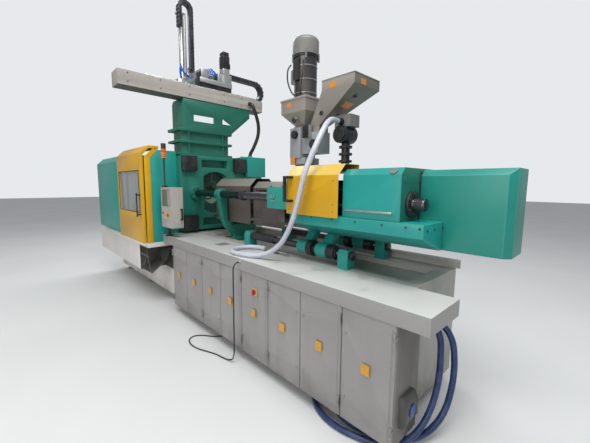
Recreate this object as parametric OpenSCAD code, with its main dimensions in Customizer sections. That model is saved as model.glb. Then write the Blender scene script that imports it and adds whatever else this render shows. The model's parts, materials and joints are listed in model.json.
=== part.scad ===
// Hydraulic injection moulding machine with take-out robot and material feeding.
// Machine frame: x along the tie bars towards the injection end, y away from the operator,
// z up from the floor. x = 0 is the left edge of the cabinet doors, y = 0 their front face.

/* [Switch cabinet] */
// Distance from one door to the next
door_pitch = 432; // [380:1:480]
// Height of a cabinet door
door_h = 870; // [780:1:940]
// Clear height between the floor and the machine's underside
floor_gap = 120; // [100:1:150]
// Depth of the cabinet behind the door face
cabinet_depth = 345; // [300:1:400]
// Depth of a door's folded edge
door_t = 22; // [18:1:26]
// Gap between two doors
door_gap = 8; // [8:0.5:10]
// Thickness of the cabinet's sheet metal
sheet = 5; // [3:0.5:8]
// Radius of a door hinge's pin
hinge_pin_r = 4; // [3:0.25:5]

/* [Worktop] */
// Height of the worktop's apron
top_h = 118; // [100:1:140]
// Depth of the worktop from front to back
top_depth = 458; // [430:1:520]
// Overhang of the worktop past the last door
top_overhang = 208; // [150:1:260]
// Thickness of the worktop's sheet metal
top_sheet = 6; // [4:0.5:8]

/* [Machine bed] */
// Width of the injection unit's bed
bed_w = 930; // [860:2:1000]
// Distance of the bed's end from the cabinet's end
bed_setback = 100; // [60:1:140]
// Depth of the oil tray in the bed's top
tray_depth = 48; // [30:1:70]
// Height of the splash rail at the far side
rail_h = 82; // [50:1:120]
// Width of the splash rail's flange
rail_flange = 60; // [40:1:70]

/* [Clamp unit] */
// Height of the machine's axis above the floor
axis_z = 1725; // [1700:1:1800]
// Width and height of the platens
platen_size = 1150; // [1080:2:1180]
// Thickness of the fixed platen
platen_t = 420; // [400:1:460]
// Thickness of the moving platen
moving_t = 380; // [340:1:400]
// Thickness of the rear platen
rear_t = 340; // [280:1:380]
// Distance between two tie bars
bar_pitch = 895; // [870:1:920]
// Diameter of a tie bar
bar_d = 110; // [90:1:120]
// Free space between fixed and moving platen in the modelled position
daylight = 650; // [600:1:680]
// Radius of the clamp cylinder's piston rod
ram_r = 200; // [160:1:220]
// Side of the square cap over a tie bar's nut
cap_side = 225; // [210:1:240]
// Depth of the cap over a tie bar's nut
cap_h = 75; // [70:1:90]
// Radius of the centring bore for the mould
centring_r = 100; // [80:1:110]
// Radius of the funnel where it opens
funnel_r = 330; // [300:1:340]
// Spacing of the four outer mould bolts
bolt_spacing = 700; // [560:10:720]
// Radius of a mould bolt's hole
bolt_r = 12; // [8:0.5:14]
// Radius of the ejector rod
ejector_r = 25; // [18:0.5:30]

/* [Clamp guard] */
// Distance from the cabinet's front to the guard's fixed front panel
guard_reach = 230; // [200:1:260]
// Height of the fixed guard's top above the floor
guard_top = 2350; // [2340:1:2450]
// Size of the chamfer along the guard's top edge
guard_chamfer = 112; // [80:1:140]
// Thickness of the guard's sheet metal
guard_sheet = 4; // [3:0.5:6]
// Width of the sliding safety door
safety_w = 1170; // [1000:5:1200]
// Thickness of the sliding safety door
safety_t = 40; // [30:1:50]
// Height of the window in the safety door
window_h = 590; // [400:5:620]

/* [Injection unit] */
// Distance of each guide column from the machine's axis
column_off = 325; // [310:1:330]
// Radius of a guide column
column_r = 45; // [35:0.5:48]
// Radius of a lower guide rod
rod_r = 32; // [25:0.5:36]
// Distance of each lower guide rod from the machine's axis
rod_off = 310; // [300:1:320]
// Height of a lower guide rod above the bed
rod_rise = 127; // [120:1:140]
// Stroke of the whole injection unit
unit_stroke = 370; // [300:5:370]
// Length of the carriage trough
trough_len = 1326; // [1300:1:1400]
// Width of the carriage trough
trough_w = 1020; // [980:2:1060]
// Height of the green hood's straight side
hood_side = 345; // [300:1:380]
// Size of the chamfer along the hood's top edge
hood_chamfer = 50; // [30:1:70]
// Length of the yellow sliding cover
yellow_len = 630; // [600:1:640]
// Distance by which the sliding cover stands proud of the green hood
yellow_proud = 50; // [44:1:60]
// Width of the screw drive's housing
drive_w = 360; // [300:2:400]
// Length of the screw drive's housing
drive_len = 620; // [500:5:700]
// Side of an injection cylinder's square head
cyl_head = 230; // [210:1:240]
// Radius of the plasticising barrel
barrel_r = 110; // [90:1:115]
// Radius of the screw
screw_r = 45; // [35:0.5:50]

/* [Barrel guards] */
// Width of the hood over the nozzle end of the barrel
nozzle_hood_w = 420; // [400:2:440]
// Length of the hood over the nozzle end of the barrel
nozzle_hood_len = 868; // [800:1:880]
// Length of the slotted cover over the feed end of the barrel
slotted_len = 600; // [560:1:620]
// Thickness of the barrel covers' sheet metal
cover_sheet = 4; // [3:0.5:5]

/* [Material feeding] */
// Side of the small hopper's square box
small_side = 380; // [340:2:400]
// Height of the small hopper's box
small_box_h = 140; // [100:1:180]
// Length of the large hopper's mouth along the machine
large_len = 385; // [340:1:420]
// Width of the large hopper's mouth across the machine
large_w = 405; // [340:1:420]
// Thickness of the hoppers' sheet metal
hopper_sheet = 3; // [2:0.5:4]
// Radius of the small loader's body
loader_r = 125; // [100:1:140]
// Radius of the small loader's cap
loader_cap_r = 143; // [142:1:160]

/* [Take-out robot] */
// Length of the traverse beam across the machine
beam_len = 2310; // [2300:5:2500]
// Height of the traverse beam
beam_h = 190; // [160:1:220]
// Width of the traverse beam
beam_w = 260; // [220:1:300]
// Height of the console between the platen and the beam
console_h = 830; // [760:5:900]
// Length of the vertical arm
arm_len = 1950; // [1900:5:2000]
// Side of the vertical arm's square section
arm_side = 90; // [70:1:100]
// Pitch of a cable chain's links
link_pitch = 60; // [55:1:80]

/* [Operator panel] */
// Width of the operator panel
panel_w = 360; // [300:2:380]
// Height of the operator panel
panel_h = 564; // [480:2:600]
// Depth of the operator panel
panel_d = 166; // [140:1:180]
// Radius of the emergency stop button
stop_r = 20; // [15:0.5:24]

/* [Hidden] */
$fn = 48;

// Clearances: at rest beside a seat, and radially in a running fit
seat = 0.3;
run_fit = 0.05;
tiny = 0.01;

// Colours of the paint and the materials
green = [0.16, 0.60, 0.52];
dark_green = [0.04, 0.30, 0.24];
yellow = [0.85, 0.62, 0.05];
warm_white = [0.80, 0.79, 0.75];
door_grey = [0.66, 0.66, 0.65];
black = [0.06, 0.06, 0.07];
steel = [0.62, 0.63, 0.65];
taupe = [0.40, 0.37, 0.34];
beige = [0.74, 0.72, 0.66];
blue = [0.05, 0.12, 0.30];
orange = [0.85, 0.40, 0.08];

// Main planes of the machine
door_count = 8;
cabinet_len = door_count * door_pitch;
cabinet_top = floor_gap + door_h;
bed_top = cabinet_top + top_h;
top_front = -8;
top_back = top_front + top_depth;
top_right = cabinet_len + top_overhang;
mid_y = cabinet_depth + bed_w / 2;
bed_x = -330;
bed_end = cabinet_len - bed_setback;
clamp_top = bed_top - 108;
skirt_z = 540;
plinth_half = 660;

// Clamp unit along the machine
fixed_back = -200;
fixed_face = fixed_back - platen_t;
moving_face = fixed_face - daylight;
moving_back = moving_face - moving_t;
open_stroke = 450;
close_stroke = 300;
cylinder_mouth = moving_back - open_stroke - 10;
ram_end = cylinder_mouth - close_stroke - 150;
cylinder_end = ram_end - open_stroke - 60;
rear_face = cylinder_mouth - 250;
rear_back = rear_face - rear_t;
guard_left = cylinder_end - 80;
platen_half = platen_size / 2;
bar_half = bar_pitch / 2;
bar_r = bar_d / 2;
nut_r = bar_r + 32;
nut_h = 60;
platen_z = axis_z - platen_half;
rail_top = clamp_top + 60;
slide_off = 330;

// Clamp guard across the machine
guard_y = -guard_reach;
guard_far = 2 * mid_y + guard_reach;
safety_right = bed_x;
safety_left = safety_right - safety_w;
safety_gap = 12;
safety_y = guard_y - safety_gap;
safety_front = safety_y - safety_t;
safety_bottom = clamp_top + seat;
safety_top = guard_top + safety_gap + safety_t;
window_z = clamp_top + 450;
window_side = 100;
safety_stroke = 1100;

// Injection unit
trough_x = 2130;
trough_end = trough_x + trough_len;
trough_half = trough_w / 2;
trough_bottom = 1384;
trough_top = 1600;
trough_flat = 210;
trough_lip = 1500;
hood_half = trough_half - 20;
hood_x = trough_x + 10;
hood_end = 3270;
hood_shoulder = trough_top + seat + hood_side;
hood_top = hood_shoulder + hood_chamfer;
hood_sheet = 5;
access_end = trough_x + yellow_len - 5;
spine_half = 340;
yellow_x = trough_x - 15;
yellow_end = yellow_x + yellow_len;
yellow_y = mid_y - hood_half - yellow_proud;
yellow_stroke = 500;
drive_half = drive_w / 2;
drive_x = hood_end + seat;
drive_end = drive_x + drive_len;
drive_chamfer = 45;
column_end = hood_end + 115;
column_near = mid_y - column_off;
disc_t = 25;
disc_r = 100;
head_x = 1690;
rod_z = bed_top + rod_rise;
bracket_left = 1140;
bracket_right = 2618;
bracket_len = 110;
collar_x = 2091;
collar_len = 130;
collar_gap = 122;
collar_r = 73;
injection_stroke = 400;

// Barrel and its covers
nozzle_tip = -215;
barrel_front = nozzle_tip + 115;
throat_x = 1825;
hood_left = 183;
hood_right = hood_left + nozzle_hood_len;
hood_z = 1345;
hood_peak = 1940;
hood_cut = 100;
slotted_x = 1100;
slotted_end = slotted_x + slotted_len;

// Material feeding
throat_top = 2090;
dosing_z = 2160;
dosing_top = 2485;
small_z = dosing_top + 155;
small_top = small_z + small_box_h;
large_x = 2255;
large_z = 2442;
large_rim = 2770;
large_top = 2857;
large_y = mid_y - 210;
blower_x = 2400;

// Take-out robot
console_x = fixed_back - 10;
console_z = axis_z + platen_half;
beam_z = console_z + console_h;
beam_top = beam_z + beam_h;
beam_x = fixed_back - beam_w;
beam_y = mid_y - 1350;
beam_end = beam_y + beam_len;
carriage_y = mid_y - 230;
carriage_w = 560;
carriage_top = beam_top + 150;
arm_x = fixed_face - 310;
arm_y = mid_y - 140;
arm_z = 2700;
demould_z = carriage_top + seat;
demould_h = 130;
demould_w = 120;
chain_w = 100;
chain_t = 60;
link_inset = 8;
chain_r = 150;
bend_step = 22.5;
chain_x = beam_x + 55;
chain_low = beam_top + 36;
chain_bend_y = beam_end - 30;

// Operator panel
post_x = -160;
post_y = 23;
post_r = 22;
panel_x = post_x - 46;
panel_y = post_y - panel_d / 2;
panel_z = 1250;
tower_x = post_x + 30;
tower_y = post_y - 50;

// Ends of the whole part and its middle
left_end = guard_left;
right_end = drive_end;
mid_x = (left_end + right_end) / 2;
near_end = beam_y;
far_end = chain_bend_y + (chain_r + chain_t / 2) * cos(bend_step / 2)
    + (link_pitch / 2 - link_inset) * sin(bend_step / 2);
centre_y = (near_end + far_end) / 2;

// Routes of the cords
hose_r = 25;
hose_z = 1134;
lance_y = 418;
suction_route = [
    [2400, 690, 2480], [2400, 640, 2480], [2420, 560, 2472], [2455, 460, 2425], [2480, 370, 2340], [2488, 285, 2220],
    [2475, 225, 2100], [2450, 178, 1960], [2410, 172, 1820], [2365, 172, 1680], [2305, 175, 1540],
    [2225, 180, 1410], [2125, 185, 1295], [2005, 170, 1205], [1895, 145, 1155], [1800, 108, 1136],
    [1710, 70, 1134], [1625, 50, 1134], [1540, 46, 1134], [1469, 60, 1134], [1409, 100, 1134],
    [1368, 161, 1134], [1354, 232, 1134], [1368, 303, 1134], [1409, 364, 1134], [1469, 404, 1134],
    [1540, lance_y, 1134], [1600, lance_y, 1134]
];
cable_r = 7;
cable_route = [
    [1722, -8, 1075], [1722, -30, 1075], [1722, -54.5, 1070], [1722, -75.3, 1056.3], [1722, -89.1, 1035.5],
    [1722, -94, 1011], [1721, -94, 930], [1720, -94, 820], [1720, -94, 690], [1720, -94, 550],
    [1720, -94, 400], [1720, -94, 270], [1720, -95, 170], [1717, -97, 100], [1696, -103, 45], [1640, -113, 16],
    [1560, -128, 7.5], [1460, -146, 7.5], [1380, -170, 7.5], [1295, -203, 7.5],
    [1200, -238, 7.5], [1095, -256, 7.5], [990, -246, 7.5], [915, -205, 7.5], [890, -145, 7.5],
    [915, -85, 7.5], [975, -30, 7.5], [1050, 24, 7.5], [1110.6, 97.1, 7.5], [1129.5, 121.2, 13.6],
    [1145.5, 141.6, 30.9], [1156.2, 155.2, 56.9], [1160, 160, 87.5], [1160, 160, 119.7]
];
blue_r = 23;
blue_route_1 = [
    [3356.3, 480, 880], [3430, 480, 880], [3508, 478, 848], [3550, 470, 765], [3562, 460, 650],
    [3565, 448, 520], [3560, 420, 390], [3545, 370, 265], [3515, 300, 155], [3465, 225, 75],
    [3390, 150, 32], [3290, 80, 23.5], [3170, 30, 23.5], [3040, 0, 23.5], [2910, 0, 23.5],
    [2790, 30, 23.5], [2695, 85, 23.5], [2625, 138, 42], [2600, 160, 88], [2600, 160, 119.7]
];
blue_route_2 = [
    [3356.3, 580, 850], [3440, 580, 850], [3538, 580, 817], [3595, 580, 730], [3615, 580, 610],
    [3620, 575, 480], [3615, 550, 350], [3600, 505, 230], [3565, 435, 130], [3510, 355, 62],
    [3435, 275, 28], [3340, 200, 23.5], [3225, 140, 23.5], [3100, 105, 23.5], [2980, 105, 23.5],
    [2890, 140, 23.5], [2825, 204, 42], [2800, 230, 88], [2800, 230, 119.7]
];
conduit_r = 30;
conduit_route = [
    [-199.7, 1480, 3225], [-160, 1480, 3225], [-112, 1492, 3192], [-95, 1525, 3110],
    [-92, 1565, 3010], [-95, 1600, 2900], [-105, 1615, 2790], [-120, 1605, 2680],
    [-145, 1575, 2570], [-175, 1540, 2470], [-205, 1515, 2400], [-220, 1510, 2350],
    [-220, 1510, 2330]
];

// Straight blocks and bars between named planes
module slab(low, high) translate(low) cube(high - low);
module bar_x(x0, x1, y, z, r) translate([x0, y, z]) rotate([0, 90, 0]) cylinder(h = x1 - x0, r = r);
module bar_y(y0, y1, x, z, r) translate([x, y0, z]) rotate([-90, 0, 0]) cylinder(h = y1 - y0, r = r);
module bar_z(z0, z1, x, y, r) translate([x, y, z0]) cylinder(h = z1 - z0, r = r);
// A cross profile (y, z) drawn along x, and a side profile (x, z) drawn along y
module along_x(x0, x1) translate([x0, 0, 0]) rotate([90, 0, 90]) linear_extrude(x1 - x0) children();
module along_y(y0, y1) translate([0, y1, 0]) rotate([90, 0, 0]) linear_extrude(y1 - y0) children();
// The same shape on both sides of the machine's middle plane
module both_sides() {
    children();
    translate([0, 2 * mid_y, 0]) mirror([0, 1, 0]) children();
}
// The machine's frame moved to the part's own origin
module placed() translate([-mid_x, -centre_y, 0]) children();

// A tube swept along a route, with a ring of points in the plane across each step
function unit3(v) = v / norm(v);
function step_dir(p, i) =
    unit3(p[min(i + 1, len(p) - 1)] - p[max(i - 1, 0)]);
function side_of(d) = abs(d[2]) > 0.9 ? unit3(cross(d, [0, 1, 0])) : unit3(cross(d, [0, 0, 1]));
// Each ring's first direction is carried on from the ring before it, so the tube doesn't twist
function carried(p, i) =
    i == 0 ? side_of(step_dir(p, 0)) :
    let (d = step_dir(p, i), b = carried(p, i - 1)) unit3(b - d * (b * d));
module swept_tube(route, r, sides = 8) {
    frames = [for (i = [0 : len(route) - 1]) [step_dir(route, i), carried(route, i)]];
    points = [
        for (i = [0 : len(route) - 1])
            let (d = frames[i][0], b = frames[i][1], c = cross(d, b))
                for (k = [0 : sides - 1])
                    route[i] + r * (cos(360 * k / sides) * b + sin(360 * k / sides) * c)
    ];
    walls = [
        for (i = [0 : len(route) - 2])
            for (k = [0 : sides - 1])
                for (t = [0, 1])
                    let (a = i * sides + k, b = i * sides + (k + 1) % sides)
                        t == 0 ? [a, a + sides, b] : [b, a + sides, b + sides]
    ];
    last = (len(route) - 1) * sides;
    first_cap = [for (k = [0 : sides - 1]) k];
    last_cap = [for (k = [0 : sides - 1]) last + sides - 1 - k];
    polyhedron(points = points, faces = concat(walls, [first_cap], [last_cap]), convexity = 8);
}

// Clamp bed: a plinth, a wider skirt under the guard, the platen's rails and the door's track
clamp_x = guard_left;
module clamp_bed() color(warm_white) {
    difference() {
        union() {
            slab([clamp_x, mid_y - plinth_half, floor_gap], [bed_x, mid_y + plinth_half, skirt_z + tiny]);
            slab([clamp_x, guard_y, skirt_z], [bed_x, guard_far, clamp_top]);
        }
        slab([fixed_face - 640, mid_y - 300, clamp_top - 240],
             [fixed_face - 60, mid_y + 300, clamp_top + tiny]);
    }
    for (side = [-1, 1])
        slab([rear_face + seat, mid_y + side * slide_off - 30, clamp_top - tiny],
             [fixed_face - seat, mid_y + side * slide_off + 30, rail_top]);
    slab([safety_left - safety_stroke - 20, safety_front - 4, clamp_top - 20],
         [bed_x, guard_y + tiny, clamp_top]);
}

// Injection bed: a closed welded box with a ledge for the worktop, an oil tray and a splash rail
module injection_bed() color(warm_white) {
    bed_front = cabinet_depth;
    bed_back = cabinet_depth + bed_w;
    difference() {
        along_x(bed_x + tiny, bed_end) polygon([
            [bed_front, floor_gap], [bed_back, floor_gap], [bed_back, bed_top],
            [top_back, bed_top], [top_back, cabinet_top], [bed_front, cabinet_top]]);
        slab([100, mid_y - 240, bed_top - tray_depth], [bed_end - 120, mid_y + 240, bed_top + tiny]);
    }
    along_x(0, bed_end + 37) polygon([
        [bed_back - 8, bed_top - tiny], [bed_back, bed_top - tiny], [bed_back, bed_top + rail_h],
        [bed_back - rail_flange, bed_top + rail_h], [bed_back - rail_flange, bed_top + rail_h - 8],
        [bed_back - 8, bed_top + rail_h - 8]]);
    for (fitting = [[480, 880], [580, 850]])
        difference() {
            bar_x(bed_end - tiny, bed_end + 40, fitting[0], fitting[1], blue_r + 9);
            bar_x(bed_end, bed_end + 50, fitting[0], fitting[1], blue_r + seat);
        }
}

// Switch cabinet: one sheet metal body with a bay behind each door or pair of doors
bays = [[0, 2], [2, 4], [4, 5], [5, 7], [7, 8]];
jamb = 20;
socket_y = 155;
socket_z = 360;
module switch_cabinet() color(door_grey) {
    difference() {
        slab([0, door_t, floor_gap], [cabinet_len, cabinet_depth, cabinet_top]);
        for (bay = bays)
            slab([bay[0] * door_pitch + jamb, door_t - tiny, floor_gap + jamb],
                 [bay[1] * door_pitch - jamb, cabinet_depth - sheet, cabinet_top - jamb]);
    }
    difference() {
        along_y(socket_y - 85, socket_y + 85) polygon([
            [cabinet_len - tiny, socket_z - 110], [cabinet_len + 30, socket_z - 110],
            [cabinet_len + 56, socket_z - 60], [cabinet_len + 56, socket_z + 60],
            [cabinet_len + 30, socket_z + 110], [cabinet_len - tiny, socket_z + 110]]);
        bar_x(cabinet_len + 10, cabinet_len + 60, socket_y, socket_z, 30);
    }
}

// Worktop: folded sheet metal with a deep apron and cross ribs that stand on the cabinet
module worktop() color(warm_white) {
    difference() {
        slab([bed_x, top_front, cabinet_top], [top_right, top_back, bed_top]);
        for (i = [0 : door_count / 2])
            let (x0 = i == 0 ? bed_x + top_sheet : (2 * i - 1) * door_pitch + top_sheet,
                 x1 = i == door_count / 2 ? top_right - top_sheet : (2 * i + 1) * door_pitch)
                slab([x0, top_front + top_sheet, cabinet_top - tiny],
                     [x1, top_back - top_sheet, bed_top - top_sheet]);
        bar_y(top_front - tiny, top_front + 40, 1722, 1075, cable_r + seat);
    }
    difference() {
        bar_y(top_front - 18, top_front + tiny, 1722, 1075, cable_r + 7);
        bar_y(top_front - 20, top_front + 1, 1722, 1075, cable_r + seat);
    }
}

// Cabinet doors: which side each one hinges on, and where its hinges and locks sit
hinge_side = [-1, 1, -1, 1, 1, -1, 1, 1];
hinge_y = -12;
knuckle_r = 7;
knuckle_h = 30;
hinge_heights = [floor_gap + 110, cabinet_top - 110];
lock_heights = [floor_gap + 190, cabinet_top - 190];
lock_r = 12;
lock_h = 8;
function door_left(i) = i * door_pitch + door_gap / 2;
function door_right(i) = (i + 1) * door_pitch - door_gap / 2;
function hinge_x(i) = hinge_side[i] < 0 ? door_left(i) + 4 : door_right(i) - 4;
module door_hinges() color(black)
    for (i = [0 : door_count - 1])
        for (z = hinge_heights) {
            edge = hinge_side[i] < 0 ? door_left(i) : door_right(i);
            leaf = edge + hinge_side[i] * 3.5;
            leaf_in = edge + hinge_side[i] * 0.5;
            bar_z(z, z + knuckle_h, hinge_x(i), hinge_y, knuckle_r);
            bar_z(z - knuckle_h, z + 2 * knuckle_h, hinge_x(i), hinge_y, hinge_pin_r);
            slab([min(leaf, leaf_in), hinge_y, z], [max(leaf, leaf_in), door_t, z + knuckle_h]);
            slab([min(leaf, hinge_x(i)), hinge_y - 2, z], [max(leaf, hinge_x(i)), hinge_y + 2, z + knuckle_h]);
        }
module cabinet_door(i) color(door_grey) {
    lock_x = hinge_side[i] < 0 ? door_right(i) - 32 : door_left(i) + 32;
    z0 = floor_gap + 4;
    z1 = cabinet_top - 4;
    difference() {
        slab([door_left(i), 0, z0], [door_right(i), door_t - seat, z1]);
        slab([door_left(i) + 3, 3, z0 + 3], [door_right(i) - 3, door_t, z1 - 3]);
    }
    for (z = lock_heights)
        color(black) bar_y(-lock_h, door_t - 6, lock_x, z, lock_r);
    for (z = hinge_heights)
        for (knuckle = [[z - knuckle_h, z - seat], [z + knuckle_h + seat, z + 2 * knuckle_h]])
            color(black) difference() {
                union() {
                    bar_z(knuckle[0], knuckle[1], hinge_x(i), hinge_y, knuckle_r);
                    slab([hinge_x(i) - 3.5, hinge_y, knuckle[0]], [hinge_x(i) + 3.5, tiny, knuckle[1]]);
                }
                bar_z(knuckle[0] - 1, knuckle[1] + 1, hinge_x(i), hinge_y, hinge_pin_r + run_fit);
            }
}
// Main switch: its yellow plate belongs to the fifth door, its red knob turns
switch_x = 4.55 * door_pitch;
switch_z = 820;
module switch_plate() color(yellow) difference() {
    slab([switch_x - 45, -12, switch_z - 45], [switch_x + 45, tiny, switch_z + 45]);
    bar_y(-13, -2, switch_x, switch_z, 10 + run_fit);
}
module main_switch() color([0.7, 0.08, 0.06]) {
    bar_y(-24, -12 - seat, switch_x, switch_z, 27);
    bar_y(-12 - seat - tiny, -2 - seat, switch_x, switch_z, 10);
    slab([switch_x - 7, -38, switch_z - 26], [switch_x + 7, -24 + tiny, switch_z + 26]);
}

// Levelling feet under both beds and the cabinet
module foot(x, y) {
    bar_z(0, 25, x, y, 60);
    bar_z(25 - tiny, floor_gap, x, y, 20);
    bar_z(55, 80, x, y, 34);
}
module levelling_feet() color(black) {
    for (x = [clamp_x + 150, (clamp_x + bed_x) / 2, bed_x - 150])
        both_sides() foot(x, mid_y - plinth_half + 120);
    for (x = [bed_x + 250, bed_end / 2, bed_end - 250])
        both_sides() foot(x, cabinet_depth + 110);
    for (i = [0.5, 3, 5.5])
        foot(i * door_pitch, 285);
}

// Platens: cast blocks on four tie bars, the fixed one with a funnel for the nozzle
module bar_holes(x0, x1, clearance)
    for (sy = [-1, 1])
        for (sz = [-1, 1])
            bar_x(x0 - 1, x1 + 1, mid_y + sy * bar_half, axis_z + sz * bar_half, bar_r + clearance);
module platen_block(x0, x1, half)
    along_x(x0, x1) polygon([
        for (c = [[-1, -1, 1, 0], [1, -1, -1, 0], [1, -1, 0, 1], [1, 1, 0, -1],
                  [1, 1, -1, 0], [-1, 1, 1, 0], [-1, 1, 0, -1], [-1, -1, 0, 1]])
            [mid_y + c[0] * half + c[2] * 30, axis_z + c[1] * half + c[3] * 30]]);
module mould_bolts(face, dir)
    for (sy = [-1, 1])
        for (sz = [-1, 1])
            bar_x(min(face, face - dir * 50), max(face, face - dir * 50), mid_y + sy * bolt_spacing / 2,
                  axis_z + sz * bolt_spacing / 2, bolt_r);
funnel_depth = 300;
boss_r = 110;
flange_t = 34;
module fixed_platen() color(green) difference() {
    union() {
        platen_block(fixed_face, fixed_back, platen_half);
        for (side = [-1, 1]) {
            bar_x(fixed_back - tiny, fixed_back + flange_t, mid_y + side * column_off, axis_z, boss_r);
            for (a = [0 : 45 : 315])
                bar_x(fixed_back + flange_t - tiny, fixed_back + flange_t + 14,
                      mid_y + side * column_off + (boss_r - 24) * cos(a), axis_z + (boss_r - 24) * sin(a), 12);
        }
        slab([fixed_face + 20, mid_y - platen_half + 60, clamp_top], [bed_x - 20, mid_y + platen_half - 60, platen_z + tiny]);
    }
    bar_holes(fixed_face, fixed_back, seat);
    translate([fixed_back + tiny, mid_y, axis_z]) rotate([0, -90, 0])
        cylinder(h = funnel_depth + tiny, r1 = funnel_r - 120, r2 = centring_r + 25);
    intersection() {
        slab([fixed_back - 110, mid_y - 205, axis_z - funnel_r], [fixed_back + 1, mid_y + 205, axis_z + funnel_r]);
        bar_x(fixed_back - 110, fixed_back + 1, mid_y, axis_z, funnel_r);
    }
    bar_x(fixed_face - 1, fixed_back - funnel_depth + 2, mid_y, axis_z, centring_r);
    for (side = [-1, 1]) {
        bar_x(fixed_back - 100, fixed_back + flange_t + 1, mid_y + side * column_off, axis_z, column_r + seat);
        slab([fixed_back - 120, mid_y - 230, axis_z + side * 455 - 60],
             [fixed_back + 1, mid_y + 230, axis_z + side * 455 + 60]);
    }
    mould_bolts(fixed_face - tiny, -1);
}
module tie_bars() color(steel)
    for (sy = [-1, 1])
        for (sz = [-1, 1]) {
            bar_x(rear_back - nut_h, fixed_back + nut_h, mid_y + sy * bar_half, axis_z + sz * bar_half, bar_r);
            bar_x(fixed_back + seat, fixed_back + nut_h, mid_y + sy * bar_half, axis_z + sz * bar_half, nut_r);
            bar_x(rear_back - nut_h, rear_back - seat, mid_y + sy * bar_half, axis_z + sz * bar_half, nut_r);
        }
module tie_bar_caps() color(black)
    for (sy = [-1, 1])
        for (sz = [-1, 1])
            translate([fixed_back, mid_y + sy * bar_half, axis_z + sz * bar_half]) difference() {
                slab([0, -cap_side / 2, -cap_side / 2], [cap_h, cap_side / 2, cap_side / 2]);
                slab([-1, -cap_side / 2 + 8, -cap_side / 2 + 8], [cap_h - 8, cap_side / 2 - 8, cap_side / 2 - 8]);
            }
module rear_platen() color(green) difference() {
    union() {
        platen_block(rear_back, rear_face, platen_half);
        bar_x(cylinder_end, cylinder_mouth, mid_y, axis_z, ram_r + 100);
        slab([rear_back + 20, mid_y - platen_half + 60, clamp_top], [rear_face - 20, mid_y + platen_half - 60, platen_z + tiny]);
    }
    bar_holes(rear_back, rear_face, seat);
    bar_x(cylinder_end + 50, cylinder_mouth + 1, mid_y, axis_z, ram_r + run_fit);
}
module moving_platen() color(green) difference() {
    union() {
        platen_block(moving_back, moving_face, platen_half - 15);
        for (side = [-1, 1])
            slab([moving_back + 20, mid_y + side * slide_off - 70, rail_top + seat],
                 [moving_face - 20, mid_y + side * slide_off + 70, platen_z + 15 + tiny]);
        bar_x(ram_end, moving_back + tiny, mid_y, axis_z, ram_r);
    }
    bar_holes(moving_back, moving_face, run_fit);
    bar_x(moving_back - 250, moving_face + 1, mid_y, axis_z, ejector_r + run_fit);
    mould_bolts(moving_face + tiny, 1);
}
module ejector() color(steel) difference() {
    union() {
        bar_x(moving_back - 240, moving_face - 6, mid_y, axis_z, ejector_r);
        translate([moving_face - 6 - tiny, mid_y, axis_z]) rotate([0, 90, 0])
            cylinder(h = 5, r1 = ejector_r, r2 = ejector_r - 4);
    }
    bar_x(moving_face - 50, moving_face + 1, mid_y, axis_z, ejector_r * 0.4);
}

// Clamp guard: a bent sheet metal tunnel, open over the mould and behind the sliding door
function guard_outline(inset) = [
    [guard_y + inset, clamp_top], [guard_y + inset, guard_top - guard_chamfer + inset * 0.414],
    [guard_y + guard_chamfer + inset * 0.414, guard_top - inset],
    [guard_far - guard_chamfer - inset * 0.414, guard_top - inset],
    [guard_far - inset, guard_top - guard_chamfer + inset * 0.414], [guard_far - inset, clamp_top]];
module guard_shell() color(green) {
    difference() {
        along_x(guard_left, safety_left + 30) polygon(guard_outline(0));
        along_x(guard_left + guard_sheet, safety_left + 31) polygon(guard_outline(guard_sheet));
    }
    intersection() {
        difference() {
            along_x(safety_left + 30 - tiny, bed_x - guard_sheet - seat) polygon(guard_outline(0));
            along_x(safety_left + 29, bed_x) polygon(guard_outline(guard_sheet));
        }
        slab([safety_left, guard_far - 330, 0], [bed_x, guard_far + 1, guard_top + 1]);
    }
}
box_y = 1395;
box_w = 385;
box_z = 1989;
box_h = 341;
box_d = 200;
module guard_ends() color(green) {
    both_sides() along_x(bed_x - guard_sheet, bed_x) polygon([
        [guard_y + 26, clamp_top], [guard_y + 26, guard_top - guard_chamfer - 2],
        [guard_y + 26 + guard_chamfer, guard_top - 2], [mid_y - platen_half - seat, guard_top - 2],
        [mid_y - platen_half - seat, clamp_top]]);
    difference() {
        slab([bed_x - tiny, box_y, box_z], [bed_x + box_d, box_y + box_w, box_z + box_h]);
        bar_z(box_z + box_h - 30, box_z + box_h + 1, -220, 1510, conduit_r + seat);
    }
    difference() {
        bar_z(box_z + box_h - tiny, box_z + box_h + 24, -220, 1510, conduit_r + 10);
        bar_z(box_z + box_h - 1, box_z + box_h + 25, -220, 1510, conduit_r + 3);
    }
}
// Sliding safety door: a bent hollow-framed leaf with a window, running on the bed's track
safety_outline = [
    [safety_front, safety_bottom], [safety_front, safety_top - guard_chamfer],
    [safety_front + guard_chamfer, safety_top], [safety_front + guard_chamfer + 150, safety_top],
    [safety_front + guard_chamfer + 150, safety_top - safety_t],
    [safety_front + guard_chamfer + safety_t * 0.414, safety_top - safety_t],
    [safety_y, safety_top - guard_chamfer - safety_t * 0.414], [safety_y, safety_bottom]];
module safety_door() color(yellow) {
    difference() {
        along_x(safety_left, safety_right) polygon(safety_outline);
        slab([safety_left + window_side, safety_front - 1, window_z],
             [safety_right - window_side, safety_y + 1, window_z + window_h]);
        slab([safety_left + 60, safety_front + 6, safety_bottom + 60],
             [safety_right - 60, safety_y + 1, window_z - 60]);
    }
    color(black) for (z = [window_z - 40, window_z + 240])
        slab([safety_right - 62, safety_front - 48, z], [safety_right - 42, safety_front + tiny, z + 20]);
    color(black) slab([safety_right - 62, safety_front - 62, window_z - 60],
                      [safety_right - 42, safety_front - 48 + tiny, window_z + 280]);
}
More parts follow.
